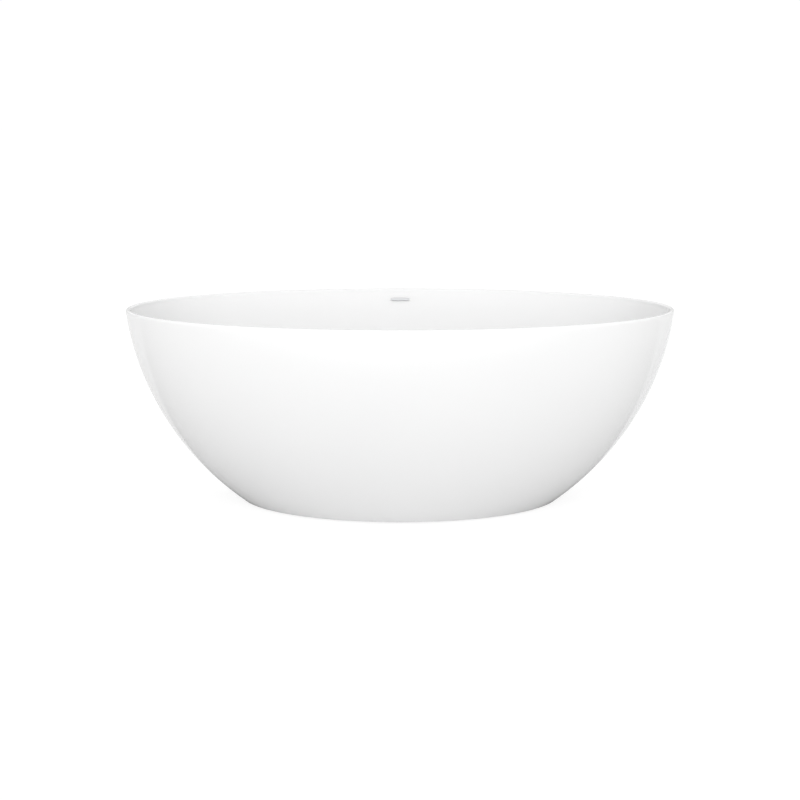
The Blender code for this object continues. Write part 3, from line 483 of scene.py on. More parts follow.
# cuts a tool's shape out of a piece, or adds it, and bakes the piece's modifiers into its mesh
def settle(piece, tool=None, operation="DIFFERENCE"):
    if tool:
        helper = added("tool", tool)
        step = piece.modifiers.new("settle", "BOOLEAN")
        step.operation = operation
        step.solver = "EXACT"
        step.object = helper
    bpy.context.view_layer.update()
    ready = piece.evaluated_get(bpy.context.evaluated_depsgraph_get())
    mesh = bpy.data.meshes.new_from_object(ready)
    piece.modifiers.clear()
    piece.data = mesh
    if tool:
        bpy.data.objects.remove(helper)
    mesh.set_sharp_from_angle(angle=creaseAngle)


# a CAD piece again with its edges rounded and its flat faces whole
def roundedCopy(name, node, edge):
    def build(shape):
        shape.from_mesh(nodes[node].data)
        bmesh.ops.remove_doubles(shape, verts=shape.verts[:], dist=0.00001)
        every = {"verts": shape.verts[:], "edges": shape.edges[:]}
        bmesh.ops.dissolve_limit(shape, angle_limit=radians(2), **every)
        sharp = [line for line in shape.edges if line.calc_face_angle(0) > radians(40)]
        roundEdges(shape, sharp, edge, 2, clamped=True)
    newPiece(name, meshFrom(name, build), node)


# the two skins: ovals whose half length and half width follow the height
tub = {
    "baseLength": 0.980,
    "baseWidth": 0.580,
    "skirt": 0.005,
    "basin": 0.006,
    "bead": 0.002,
    "beadGap": 0.0006,
    "beadDepth": 0.012,
    "seam": 0.00012,  # the fine joint line along the top of the rim
    "crown": 0.007,
    "land": 0.0015,
    "leanTop": radians(6),  # of the skirt, from upright
    "leanBase": radians(54),
    "lip": 0.030,  # turned in under the skirt's foot
    "lipEdge": 0.0012,
    "endRoom": 0.051,  # between the skins at the foot of the wall
    "sideRoom": 0.089,
    "endPower": 2.0,
    "sidePower": 1.2,
    "floorLength": 0.850,
    "floorWidth": 0.290,
    "floorFall": 0.004,
    "fillet": 0.120,  # from the wall to the floor
    "recess": 0.058,
    "recessDepth": 0.005,
    "seat": 0.040,
    "hole": 0.0265,
    "sides": 256,  # of each oval
}
skirtLow, skirtHigh = corners("outer_skirt")
length = skirtHigh.x - skirtLow.x
width = skirtHigh.y - skirtLow.y
height = skirtHigh.z
groundGap = skirtLow.z
wallTop = height - tub["crown"]
seatTop = corners("inner_basin")[0].z + tub["basin"]
floorHeight = seatTop + tub["recessDepth"]
floorEdge = floorHeight + tub["floorFall"]
filletTop = floorEdge + tub["fillet"]
tightest = 2 * sqrt(length * width) / (length + width)
rim = (tub["skirt"] + tub["basin"]) / tightest + tub["bead"] + 2 * tub["beadGap"]


# how far in the skirt's arc has come at a depth below the top of the wall
def arcInset(depth):
    whole = wallTop - groundGap
    radius = whole / (sin(tub["leanBase"]) - sin(tub["leanTop"]))
    slope = sin(tub["leanTop"]) + depth / radius
    return radius * (cos(tub["leanTop"]) - sqrt(1 - slope * slope))


def skirtHalves(z):
    share = arcInset(wallTop - z) / arcInset(wallTop - groundGap)
    a = (length - share * (length - tub["baseLength"])) / 2
    return a, (width - share * (width - tub["baseWidth"])) / 2


def basinHalves(z):
    above = 1 - (wallTop - z) / (wallTop - filletTop)
    a, b = skirtHalves(z)
    endRoom = tub["endRoom"] * (1 - above ** tub["endPower"])
    sideRoom = tub["sideRoom"] * (1 - above ** tub["sidePower"])
    return a - rim - endRoom, b - rim - sideRoom


def wallLean(halves, z, step=0.001):
    return [(high - low) / step for high, low in zip(halves(z + step), halves(z))]


def basinBack(z):
    return basinHalves(z)[1] + tub["basin"] * sqrt(1 + wallLean(basinHalves, z)[1] ** 2)


def skirtBack(z):
    return skirtHalves(z)[1] - tub["skirt"] * sqrt(1 + wallLean(skirtHalves, z)[1] ** 2)


# from the joint line over the rounded top of the rim, outwards (-1) or inwards (1)
def crownStations(direction, steps=12):
    half = (rim - tub["seam"]) / 2
    stations = []
    for step in range(-2, steps + 1):
        turn = pi / 2 * max(step, 0) / steps
        land = tub["land"] * min(step + 2, 2) / 2
        inset = rim / 2 + direction * (tub["seam"] / 2 + land + (half - tub["land"]) * sin(turn))
        stations.append((length / 2 - inset, width / 2 - inset, height - tub["crown"] * (1 - cos(turn))))
    return stations


def wallStations(halves, bottom, steps):
    levels = [wallTop + (bottom - wallTop) * step / steps for step in range(1, steps + 1)]
    return [(*halves(z), z) for z in levels]


def filletStations(steps=28):
    stations = []
    floorEnd = (tub["floorLength"] / 2, tub["floorWidth"] / 2)
    for step in range(1, steps + 1):
        share = step / steps
        halves = []
        for start, end, lean in zip(basinHalves(filletTop), floorEnd, wallLean(basinHalves, filletTop)):
            corner = start - tub["fillet"] * lean
            halves.append((1 - share) ** 2 * start + 2 * share * (1 - share) * corner + share**2 * end)
        stations.append((*halves, floorEdge + tub["fillet"] * (1 - share) ** 2))
    return stations


def ease(share):
    return share * share * (3 - 2 * share)


def floorStations(steps=18, dishSteps=8):
    stations = []
    for step in range(1, steps + 1):
        share = step / steps
        a = tub["floorLength"] / 2 * (1 - share) + tub["recess"] * share
        b = tub["floorWidth"] / 2 * (1 - share) + tub["recess"] * share
        stations.append((a, b, floorEdge - tub["floorFall"] * ease(share)))
    for step in range(1, dishSteps + 1):
        share = step / dishSteps
        r = tub["recess"] + (tub["seat"] - tub["recess"]) * share
        stations.append((r, r, floorHeight - tub["recessDepth"] * ease(share)))
    stations.append((tub["hole"], tub["hole"], seatTop))
    return stations


def solidify(piece, thickness):
    step = piece.modifiers.new("thickness", "SOLIDIFY")
    step.thickness = thickness
    step.offset = -1
    step.use_even_offset = True
    step.material_offset = 1
    step.material_offset_rim = 0


def makeSkirt():
    stations = crownStations(-1) + wallStations(skirtHalves, groundGap, steps=72)
    foot = tub["baseLength"] / 2, tub["baseWidth"] / 2
    for inset in (tub["lipEdge"], tub["lip"] / 2, tub["lip"]):
        stations.append((foot[0] - inset, foot[1] - inset, groundGap))
    mesh = loftMesh("outerSkirt", stations, tub["sides"])
    solidify(newPiece("outerSkirt", mesh, "outer_skirt", finishes=skinFinishes), tub["skirt"])


def makeBasin():
    stations = crownStations(1) + wallStations(basinHalves, filletTop, steps=48)
    stations += filletStations() + floorStations()
    mesh = loftMesh("innerBasin", stations[::-1], tub["sides"])
    basin = newPiece("innerBasin", mesh, "inner_basin", finishes=skinFinishes)
    solidify(basin, tub["basin"])
    return basin


def makeBead():
    steps = 6
    top = wallTop - clearance
    under = top - tub["beadDepth"]
    steepest = max(wallLean(basinHalves, top))
    fromSkirt = tub["skirt"] / tightest + tub["beadGap"]
    fromBasin = tub["basin"] / tightest * sqrt(1 + steepest * steepest) + tub["beadGap"]
    levels = [top + (under - top) * i / steps for i in range(steps + 1)]
    stations = [(*(half - fromSkirt for half in skirtHalves(z)), z) for z in levels]
    stations += [(*(half + fromBasin for half in basinHalves(z)), z) for z in levels[::-1]]
    mesh = loftMesh("rimBondingBead", stations, tub["sides"], closed=True)
    newPiece("rimBondingBead", mesh, "rim_bonding_bead")


makeSkirt()
innerBasin = makeBasin()
makeBead()
print("skins lofted")


# the waste: its turned pieces take their outer sizes from the frame
waste = {
    "rounding": 0.0005,
    "bore": 0.0205,
    "barrel": 0.024,
    "thread": (0.002, 0.0007),  # pitch and depth
    "neck": 0.003,  # plain barrel under the flange
    "seatFlare": 0.007,
    "seatHeight": 0.005,
    "flangeDepth": 0.0025,
    "flangeEdge": 0.001,
    "boss": 0.0075,
    "bossBore": 0.0052,
    "bossLift": 0.002,  # above the foot of the plug's cup
    "bossHeight": 0.006,
    "arm": (0.006, 0.004),
    "armStart": 0.0065,
    "armBite": 0.0012,  # into the barrel's wall
    "wall": 0.0025,
    "collar": 0.006,
    "foot": 0.008,
    "waist": 0.001,
    "bodyGrip": (10, 0.0008),  # how many ridges, and their depth
    "outlet": 0.017,
    "spigot": 0.0086,
    "spigotBore": 0.0061,
    "spigotBite": 0.0008,
    "drill": (0.004, 0.010),  # past the body's wall, and past the spigot's end
    "barbs": 5,
    "barb": (0.0045, 0.0036, 0.0007),  # pitch, run and height
    "pipe": 0.020,
    "tailFlange": 0.002,
    "nutGrip": (18, 0.0011),
    "gripMargin": 0.0012,
}


def extent(node):
    low, high = corners(node)
    return high.x, low.z, high.z


# ridges round a moulded cap or nut, for gripping
def gripped(radius, grip, low, high):
    count, depth = grip

    def change(turn, r, z):
        if r < radius - 0.0002 or not low < z < high:
            return r, z
        return r - depth * max(0.0, cos(count * turn)) ** 0.5, z
    return change


# carries a shape turned about Z round to the Y axis
def layBack(mesh, place):
    mesh.transform(Matrix.Translation(place) @ Matrix.Rotation(-pi / 2, 4, "X"))
    return mesh


def makeFlange():
    outer, end, top = extent("drain_flange")
    under = top - waste["flangeDepth"]
    bore, barrel, edge = waste["bore"], waste["barrel"], waste["flangeEdge"]
    pitch, depth = waste["thread"]
    root = barrel - depth
    neckEnd = under - waste["neck"]
    rows = threadRows(barrel, neckEnd - edge, end + 2 * edge, pitch)
    seat = [(bore + waste["seatFlare"], top), (outer - 2 * edge, top), (outer, top - edge), (outer, under)]
    seat += [(root, under), (root, neckEnd)]
    foot = [(root, end + edge), (barrel - 1.5 * edge, end), (bore, end), (bore, top - waste["seatHeight"])]
    profile = softened(seat, waste["rounding"], closed=False) + rows + foot
    change = threaded(barrel, neckEnd, end + 1.5 * edge, pitch, depth)
    turnedPiece("drainFlange", "drain_flange", profile, change=change)

    bossLow = corners("plug_cartridge")[0].z + waste["bossLift"]
    bossHigh = bossLow + waste["bossHeight"]
    ring = [(waste["boss"], bossHigh), (waste["boss"], bossLow), (waste["bossBore"], bossLow)]
    ring.append((waste["bossBore"], bossHigh))
    arms = [turnedMesh("boss", softened(ring, waste["rounding"]), sides=48)]
    y, z = (size / 2 for size in waste["arm"])
    level = (bossLow + bossHigh) / 2
    for side in (-1, 1):
        ends = sorted((side * waste["armStart"], side * (bore + waste["armBite"])))
        arms.append(blockMesh("arm", (ends[0], -y, level - z), (ends[1], y, level + z)))
    newPiece("flangeSpider", joined("flangeSpider", arms), slot="chrome")


def makeSeals():
    thread = waste["barrel"] + clearance
    upper = "drain_upper_gasket", "upperGasket", tub["hole"]
    lower = "drain_lower_gasket", "lowerGasket", thread
    for node, name, inner in (upper, lower):
        outer, low, high = extent(node)
        ring = [(outer, high), (outer, low), (inner, low), (inner, high)]
        turnedPiece(name, node, softened(ring, waste["rounding"]))
    corner, low, high = extent("drain_lock_nut")
    mesh = nutMesh("drainLockNut", corner, thread, low, high)
    newPiece("drainLockNut", mesh, "drain_lock_nut")


def makeWasteBody():
    low, high = corners("waste_body")
    outer, reach, bottom, top = high.x, high.y, low.z, high.z
    end = corners("drain_flange")[0].z
    wall, waist, edge = waste["wall"], waste["waist"], waste["rounding"]
    inside, thread = outer - wall, waste["barrel"] + clearance
    collar, foot = top - waste["collar"], bottom + waste["foot"]
    profile = [
        (outer, top),
        (outer, collar),
        (outer - waist, collar - waist),
        (outer - waist, foot + waist),
        (outer, foot),
        (outer, bottom),
        (waste["outlet"], bottom),
        (waste["outlet"], bottom + wall),
        (inside - waist, bottom + 2 * wall),
        (inside - waist, end - 2 * waist),
        (thread, end - waist),
        (thread, top),
    ]
    change = gripped(outer, waste["bodyGrip"], collar + edge, top - edge)
    profile = softened(profile, edge)
    body = turnedPiece("wasteBody", "waste_body", profile, sides=160, change=change)
    pitch, run, ridge = waste["barb"]
    spigot, neck, bite = waste["spigot"], waste["spigot"] - ridge, inside - waste["spigotBite"]
    barbs = [(0, reach)]
    for start in (reach - pitch * barb for barb in range(waste["barbs"])):
        barbs += [(neck, start), (spigot, start - run)]
    barbs += [(neck, outer + edge), (neck, bite), (0, bite)]
    port = (0, 0, middle("hose_clip_bottom").z)
    settle(body, layBack(turnedMesh("spigot", barbs, sides=48, closed=False), port), "UNION")
    start, past, bore = inside - waste["drill"][0], reach + waste["drill"][1], waste["spigotBore"]
    drill = [(0, past), (bore, past), (bore, start), (0, start)]
    settle(body, layBack(turnedMesh("bore", drill, sides=40, closed=False), port))


def makeTail():
    flange, ground, top = extent("tailpiece")
    pipe, bore, under = waste["pipe"], waste["outlet"], top - waste["tailFlange"]
    profile = [(flange, top), (flange, under), (pipe, under), (pipe, ground), (bore, ground), (bore, top)]
    turnedPiece("tailPipe", "tailpiece", softened(profile, waste["rounding"]))
    outer, low, high = extent("tailpiece_nut")
    thread = corners("waste_body")[1].x + clearance
    sleeve, shelf = pipe + clearance, under - clearance
    profile = [(outer, high), (outer, low), (sleeve, low), (sleeve, shelf), (thread, shelf), (thread, high)]
    line = softened(profile, waste["rounding"])
    rows = [(outer, high - (high - low) * share / 8) for share in range(1, 8)]
    line = line[:4] + rows + line[4:]
    change = gripped(outer, waste["nutGrip"], low + waste["gripMargin"], high - waste["gripMargin"])
    turnedPiece("tailNut", "tailpiece_nut", line, sides=216, change=change)


plug = {
    "rounding": 0.0003,
    "dome": 0.005,
    "rim": 0.0015,
    "groove": 0.0007,  # turned ring near the cap's edge
    "grooveAt": 0.84,
    "grooveWidth": 0.03,
    "socket": 0.0028,
    "sealRoom": 0.003,  # from the bore to the seal's inner edge
    "sealEdge": 0.0008,
    "sealWaist": ((0.0012, 0.0002), (0.0010, -0.0004)),  # inset, and rise from the middle
    "sealLip": 0.0042,
    "sealRounding": 0.0004,
    "stem": 0.0025,
    "piston": 0.0052,
    "pistonHeight": 0.002,
    "pistonEdge": (0.0008, 0.0015),
    "cup": 0.0075,
    "cupFloor": 0.002,
    "cupEdge": 0.0005,
    "thread": (0.001, 0.0004),
    "threadLength": 0.0083,
    "threadEnds": (0.0005, 0.0007),  # plain under the shoulder and at the tip
    "runOut": 0.0006,
    "knurls": 30,
    "knurlDepth": 0.0003,
    "knurlBand": (0.002, 0.004),  # its start under the cup's mouth, and its height
}


def makePlug():
    outer, low, top = extent("plug_cap")
    rimTop = top - plug["dome"]
    steps = 28
    dome = [(0, top)]
    for turn in (pi / 2 * step / steps for step in range(1, steps + 1)):
        radius = outer * sin(turn)
        dip = max(0.0, 1 - ((radius / outer - plug["grooveAt"]) / plug["grooveWidth"]) ** 2)
        dome.append((radius, rimTop + plug["dome"] * cos(turn) - plug["groove"] * dip))
    under, socket, edge = rimTop - plug["rim"], plug["socket"], plug["rounding"]
    below = [(outer, under), (2 * socket, under), (2 * socket, low), (socket, low), (socket, rimTop)]
    below = softened(below + [(0, rimTop)], edge, closed=False)
    turnedPiece("plugCap", "plug_cap", dome + below, body="plug", sides=128, closed=False)

    outer, low, high = extent("plug_seal")
    inner = waste["bore"] - plug["sealRoom"]
    lips = [(outer, high), (outer, high - plug["sealEdge"])]
    lips += [(outer - inset, (low + high) / 2 + rise) for inset, rise in plug["sealWaist"]]
    lips += [(outer - plug["sealLip"], low), (inner, low), (inner, high)]
    turnedPiece("plugSeal", "plug_seal", softened(lips, plug["sealRounding"]), body="plug")

    _, low, high = extent("plug_stem")
    stem, piston, neck = plug["stem"], plug["piston"], low + plug["pistonHeight"]
    out, up = plug["pistonEdge"]
    line = [(0, high), (stem, high), (stem, neck + up), (stem + out, neck), (piston, neck)]
    line += [(piston, low), (0, low)]
    line = softened(line, edge, closed=False)
    turnedPiece("plugStem", "plug_stem", line, body="plug", sides=48, closed=False)


def makeCartridge():
    _, low, high = extent("plug_cartridge")
    cup, bore, thread = plug["cup"], plug["piston"] + clearance, plug["piston"] - clearance
    edge, runOut = plug["cupEdge"], plug["runOut"]
    shoulder = low + plug["threadLength"]
    floor = shoulder + plug["cupFloor"]
    pitch, depth = plug["thread"]
    start, band = plug["knurlBand"]
    line = [(0, floor), (bore, floor), (bore, high), (cup - edge, high), (cup, high - edge)]
    line += [(cup, high - start - band * i / 8) for i in range(9)] + [(cup, shoulder), (thread, shoulder)]
    line += threadRows(thread, shoulder - runOut, low + runOut, pitch)
    line += [(thread - edge, low), (0, low)]
    cut = threaded(thread, shoulder - plug["threadEnds"][0], low + plug["threadEnds"][1], pitch, depth)

    def change(turn, r, z):
        if r == cup and high - (start + band) < z < high - start:
            return r - plug["knurlDepth"] * (0.5 + 0.5 * cos(plug["knurls"] * turn)), z
        return cut(turn, r, z)

    turnedPiece("plugCartridge", "plug_cartridge", line, sides=120, closed=False, change=change)


makeFlange()
makeSeals()
makeWasteBody()
makeTail()
makePlug()
makeCartridge()
print("waste and plug made")


overflow = {
    "barThick": 0.0025,
    "standOff": 0.004,
    "squareness": 4.0,  # of the bar's section
    "endRounding": 0.4,
    "post": 0.0016,
    "postSpread": 0.023,
    "postRounding": 0.0002,
    "collar": 0.0028,
    "collarLift": 0.0004,
    "collarThick": 0.001,
    "collarNeck": 0.0018,
    "slotLength": 0.056,
    "slotHeight": 0.006,
    "gasketCorner": 0.004,
    "gasketThick": 0.002,
    "hose": 0.012,
    "hoseWall": 0.0016,
    "ribPitch": 0.0038,
    "ribDepth": 0.0011,
    "ribFade": 0.004,
    "cuff": 0.0245,  # plain ends, under the clips
    "toSkirt": 0.005,
    "bendRise": 0.035,
    "bendReach": 0.075,
    "band": 0.0012,
    "bandSlots": 72,
    "bandSlot": (0.55, 0.45, 0.0005),  # shares of the width and pitch, and the depth
    "housing": (0.0004, 0.005, 0.0009),  # into the band, half length, rounding
    "screw": 0.0034,
    "screwRun": (-0.0052, -0.0088),
    "screwChamfer": 0.0006,
    "screwLift": 0.0032,
}
barLow, barHigh = corners("overflow_bar")
slotZ = (barLow.z + barHigh.z) / 2


def basinFront(z):
    return basinHalves(z)[1]


def makeOverflowBar():
    halfX, halfZ = (barHigh.x - barLow.x) / 2, (barHigh.z - barLow.z) / 2
    thick, power = overflow["barThick"], 2 / overflow["squareness"]
    level = -overflow["standOff"] - thick / 2
    steps, sides = 48, 40
    stations = []
    for i in range(-steps, steps + 1):
        x = (halfX - halfZ) * i / steps + halfZ * sin(pi / 2 * i / steps)
        past = max(0.0, abs(x) - (halfX - halfZ)) / halfZ
        stations.append((x, sqrt(max(0.0, 1 - past * past))))

    def squared(share):
        return abs(share) ** power * (1 if share >= 0 else -1)

    def build(shape):
        rings = []
        for x, share in stations:
            if share < 0.01:
                rings.append([shape.verts.new((x, basinFront(slotZ) + level, slotZ))])
                continue
            ring = []
            for turn in (2 * pi * side / sides for side in range(sides)):
                up = halfZ * share * squared(sin(turn))
                out = thick / 2 * share ** overflow["endRounding"] * squared(cos(turn))
                ring.append(shape.verts.new((x, basinFront(slotZ + up) + level + out, slotZ + up)))
            rings.append(ring)
        stitch(shape, rings, turnOut=True)
    meshes = [meshFrom("bar", build)]
    wall, start, end = basinFront(slotZ), basinFront(slotZ) + level, barHigh.y
    post, collar, edge = overflow["post"], overflow["collar"], overflow["postRounding"]
    lift = wall - overflow["collarLift"]
    line = [(0, end), (post - clearance, end), (post, end - overflow["collarLift"]), (post, lift)]
    line += [(collar, lift), (collar, lift - overflow["collarThick"])]
    line += [(post + edge, lift - overflow["collarNeck"]), (post, start), (0, start)]
    line = softened(line, edge, closed=False)
    for side in (-1, 1):
        stud = turnedMesh("post", line, sides=32, closed=False)
        meshes.append(layBack(stud, (side * overflow["postSpread"], 0, slotZ)))
    newPiece("overflowBar", joined("overflowBar", meshes), "overflow_bar", finishes=[satin])


# the slot's outline in the rear wall
def slotOutline():
    return roundedOutline(overflow["slotLength"], overflow["slotHeight"], overflow["slotHeight"] * 0.49)


# a flat ring between the two outlines that follows the rear wall
def makeOverflowSeal():
    low, high = corners("overflow_gasket")
    outline = roundedOutline(high.x - low.x, high.z - low.z, overflow["gasketCorner"])
    near, far = clearance, clearance + overflow["gasketThick"]

    def build(shape):
        rings = []
        for line, out in ((outline, near), (outline, far), (slotOutline(), far), (slotOutline(), near)):
            rings.append([shape.verts.new((x, basinBack(slotZ + z) + out, slotZ + z)) for x, z in line])
        stitch(shape, rings, closed=True, turnOut=True)
    newPiece("overflowGasket", meshFrom("overflowGasket", build), "overflow_gasket")


def cutOverflowSlot():
    settle(innerBasin)
    past = 0.01  # the cutter, on both sides of the wall

    def build(shape):
        levels = basinFront(slotZ) - past, basinBack(slotZ) + past
        ends = [[shape.verts.new((x, y, slotZ + z)) for x, z in slotOutline()] for y in levels]
        stitch(shape, ends)
        for end in ends:
            shape.faces.new(end)
        bmesh.ops.recalc_face_normals(shape, faces=shape.faces[:])
    settle(innerBasin, meshFrom("slot", build))


def hoseRoute():
    topClip, lowClip = middle("hose_clip_top"), middle("hose_clip_bottom")
    hoseLow, hoseHigh = corners("overflow_hose")
    railLow, railHigh = corners("rear_rail")
    top = Vector((0, topClip.y, hoseHigh.z))
    bend = lowClip.z + overflow["bendRise"]
    room = overflow["hose"] + overflow["toSkirt"]
    spigot = 2 * (hoseHigh.z - topClip.z)
    points = [top, top - Vector((0, 0, spigot))]
    for share in (0.30, 0.55, 0.80):
        z = top.z + (bend - top.z) * share
        points.append(Vector((0, min(top.y, skirtBack(z) - room - overflow["toSkirt"] * share * 4), z)))
    underRail = middle("rear_rail").y + railHigh.y - railLow.y
    points.append(Vector((0, underRail + overflow["bendReach"], bend)))
    for y in (underRail, hoseLow.y + spigot, hoseLow.y):
        points.append(Vector((0, y, lowClip.z)))
    return points


# a smooth curve through the points, its first and last runs straight, with a point at every step of length
def evenPath(points, step):
    parts = 40
    dense = [points[0]]
    for before, start, end, after in zip(points, points[1:], points[2:], points[3:]):
        slope, bend = end - before, 2 * before - 5 * start + 4 * end - after
        twist = 3 * start - before - 3 * end + after
        for t in (i / parts for i in range(parts)):
            dense.append(0.5 * (2 * start + slope * t + bend * t**2 + twist * t**3))
    dense += points[-2:]
    path, spare = [dense[0]], 0.0
    for start, end in zip(dense, dense[1:]):
        span = (end - start).length
        gone = step - spare
        while gone <= span:
            path.append(start.lerp(end, gone / span))
            gone += step
        spare = span - (gone - step)
    return path + [dense[-1]]


def makeHose():
    cuff, pitch, depth, outer = (overflow[key] for key in ("cuff", "ribPitch", "ribDepth", "hose"))
    path = evenPath(hoseRoute(), pitch / 8)
    whole = pitch / 8 * (len(path) - 1)

    def radiusAt(gone):
        ribbed = min(max(min(gone, whole - gone) - cuff, 0.0) / overflow["ribFade"], 1.0)
        return outer - depth * ribbed * (0.5 - 0.5 * cos(2 * pi * gone / pitch))

    mesh = sweepMesh("overflowHose", path, radiusAt, sides=32)
    hose = newPiece("overflowHose", mesh, "overflow_hose")
    step = hose.modifiers.new("wall", "SOLIDIFY")
    step.thickness = overflow["hoseWall"]
    step.offset = -1
    settle(hose)


def makeClips():
    inner = overflow["hose"] + clearance
    outer = inner + overflow["band"]
    slots, (slotWidth, slotPitch, slotDepth) = overflow["bandSlots"], overflow["bandSlot"]
    bite, reach, edge = overflow["housing"]
    screw, (start, end), chamfer = overflow["screw"], overflow["screwRun"], overflow["screwChamfer"]
    head = [(0, start), (screw - chamfer, start), (screw, start - chamfer), (screw, end + chamfer)]
    head += [(screw - chamfer, end), (0, end)]
    upper, lower = ("hose_clip_top", "hoseClipTop", 0), ("hose_clip_bottom", "hoseClipBottom", pi / 2)
    for node, name, turn in (upper, lower):
        low, high = corners(node)
        size = high - low
        half = (size.y if turn else size.z) / 2
        rows = [(outer, half * (1 - step / 5)) for step in range(1, 10)]
        line = [(inner, half), (outer, half)] + rows + [(outer, -half), (inner, -half)]

        def change(angle, r, z):
            slot = (angle / (2 * pi) * slots) % 1
            cut = r == outer and abs(z) < half * slotWidth and slot < slotPitch
            return (r - slotDepth if cut else r), z

        band = turnedMesh("band", line, sides=slots * 4, change=change)
        housing = blockMesh("housing", (outer - bite, -reach, -half), (high.x, reach, half), edge=edge)
        worm = turnedMesh("screw", head, sides=36, closed=False, change=hexed(screw, (start + end) / 2))
        clip = joined(name, [band, housing, layBack(worm, (outer + overflow["screwLift"], 0, 0))])
        place = Vector((0, (low.y + high.y) / 2, (low.z + high.z) / 2))
        clip.transform(Matrix.Translation(place) @ Matrix.Rotation(turn, 4, "X"))
        newPiece(name, clip, node)


cutOverflowSlot()
makeOverflowBar()
makeOverflowSeal()
makeHose()
makeClips()
roundedCopy("overflowBridge", "overflow_bridge", 0.0002)
print("overflow made")


support = {
    "stud": 0.006,
    "studThread": (0.00175, 0.00095),
    "studTip": 0.0008,
    "studNeck": 0.003,  # plain above the hexagon
    "runOut": 0.0005,
    "hex": 0.0095,
    "hexHeight": 0.008,
    "padCrown": (0.55, 0.45),  # shares of the radius at the top, and of the height at the side
    "padFoot": 0.88,
    "padGrip": (36, 0.0006),
    "padTread": 0.0007,
    "padGroove": 0.0006,
    "nutBore": 0.0063,
    "weld": 0.0017,
    "ripple": 0.0016,
    "railEdge": 0.0011,
    "plateEdge": 0.0006,
    "boardEdge": 0.0012,
    "screw": 0.0025,
    "screwTip": 0.004,
    "screwShank": 0.003,
    "screwHead": (0.005, 0.003),  # radius and depth
    "screwThread": (0.0014, 0.0006),
    "recess": (0.0026, 0.00055, 0.0014),  # the cross in the head: reach, half width, depth
}


def makeFoot(place):
    low, high = corners("foot_stud_" + place)
    padLow, padHigh = corners("foot_pad_" + place)
    axis = ((low.x + high.x) / 2, (low.y + high.y) / 2, 0)
    pitch, depth = support["studThread"]
    stud, corner, runOut = support["stud"], support["hex"], support["runOut"]
    hexLow = padHigh.z + clearance
    hexHigh = hexLow + support["hexHeight"]
    neck = hexHigh + support["studNeck"]
    flat = insideFlats(corner)
    line = [(0, high.z), (stud - depth, high.z)]
    line += threadRows(stud, high.z - support["studTip"], neck, pitch)
    line += [(stud - depth, neck - 2 * runOut), (stud - depth, hexHigh), (flat, hexHigh), (corner, hexHigh)]
    line += [(corner, hexLow), (flat, hexLow), (stud, hexLow), (stud, low.z), (0, low.z)]
    cut = threaded(stud, high.z, neck - runOut, pitch, depth)
    change = hexed(corner, (hexLow + hexHigh) / 2, also=cut)
    turned = {"body": "foot_" + place, "closed": False, "place": axis}
    turnedPiece("footStud_" + place, "foot_stud_" + place, line, sides=24, change=change, **turned)

    outer, top = (padHigh.x - padLow.x) / 2, padHigh.z
    socket, tread, groove = stud + clearance, support["padTread"], support["padGroove"]
    crown, side = support["padCrown"]
    line = [(0, low.z - clearance), (socket, low.z - clearance), (socket, top), (crown * outer, top)]
    line += [(outer, side * top), (outer, 0.30 * top), (outer, 0.15 * top), (outer, 0)]
    line.append((support["padFoot"] * outer, 0))
    for ring in (outer * step / 8 for step in range(7, 1, -1)):
        line += [(ring + groove, 0), (ring + groove / 2, tread)]
        line += [(ring - groove / 2, tread), (ring - groove, 0)]
    line.append((0, 0))
    change = gripped(outer, support["padGrip"], 0.10 * top, 0.50 * top)
    turnedPiece("footPad_" + place, "foot_pad_" + place, line, sides=216, change=change, **turned)

    nutLow, nutHigh = corners("foot_nut_" + place)
    corner = (nutHigh.x - nutLow.x) / 2
    mesh = nutMesh("footNut_" + place, corner, support["nutBore"], nutLow.z, nutHigh.z, place=axis)
    newPiece("footNut_" + place, mesh, "foot_nut_" + place)


def makeBoardScrew(place):
    low, high = corners("board_screw_" + place)
    axis = ((low.x + high.x) / 2, (low.y + high.y) / 2, 0)
    radius, (head, headDepth) = support["screw"], support["screwHead"]
    under = low.z + headDepth
    tip, shank = high.z - support["screwTip"], under + support["screwShank"]
    pitch, depth = support["screwThread"]
    line = [(0, high.z), (radius, tip)] + threadRows(radius, tip, shank, pitch)
    line += [(radius, shank - 0.0001), (radius, under)]
    line += [(head - 0.0002, under), (head, under - 0.0003), (head - 0.0003, under - 0.0012)]
    line += [(head * 0.75, under - 0.0023), (head * 0.45, low.z), (0, low.z)]  # the head's dome
    change = threaded(radius, high.z, shank, pitch, depth)
    turned = {"sides": 32, "closed": False, "change": change}
    screw = turnedPiece("boardScrew_" + place, "board_screw_" + place, line, **turned)
    wide, narrow, deep = support["recess"]
    for x, y in ((wide, narrow), (narrow, wide)):
        cross = blockMesh("recess", (-x, -y, low.z - 0.002), (x, y, low.z + deep), edge=0.0001, segments=1)
        settle(screw, cross)
    screw.data.transform(Matrix.Translation(axis))


# a rippled bead of weld along a path
def weldMesh(path, loop=False):
    def radiusAt(gone):
        return support["weld"] * (1 + 0.10 * cos(2 * pi * gone / support["ripple"]))
    return sweepMesh("weld", path, radiusAt, sides=10, loop=loop)


def between(points, step=0.0004):
    path = []
    for start, end in zip(points, points[1:]):
        count = max(1, round((end - start).length / step))
        path += [start.lerp(end, i / count) for i in range(count)]
    return path


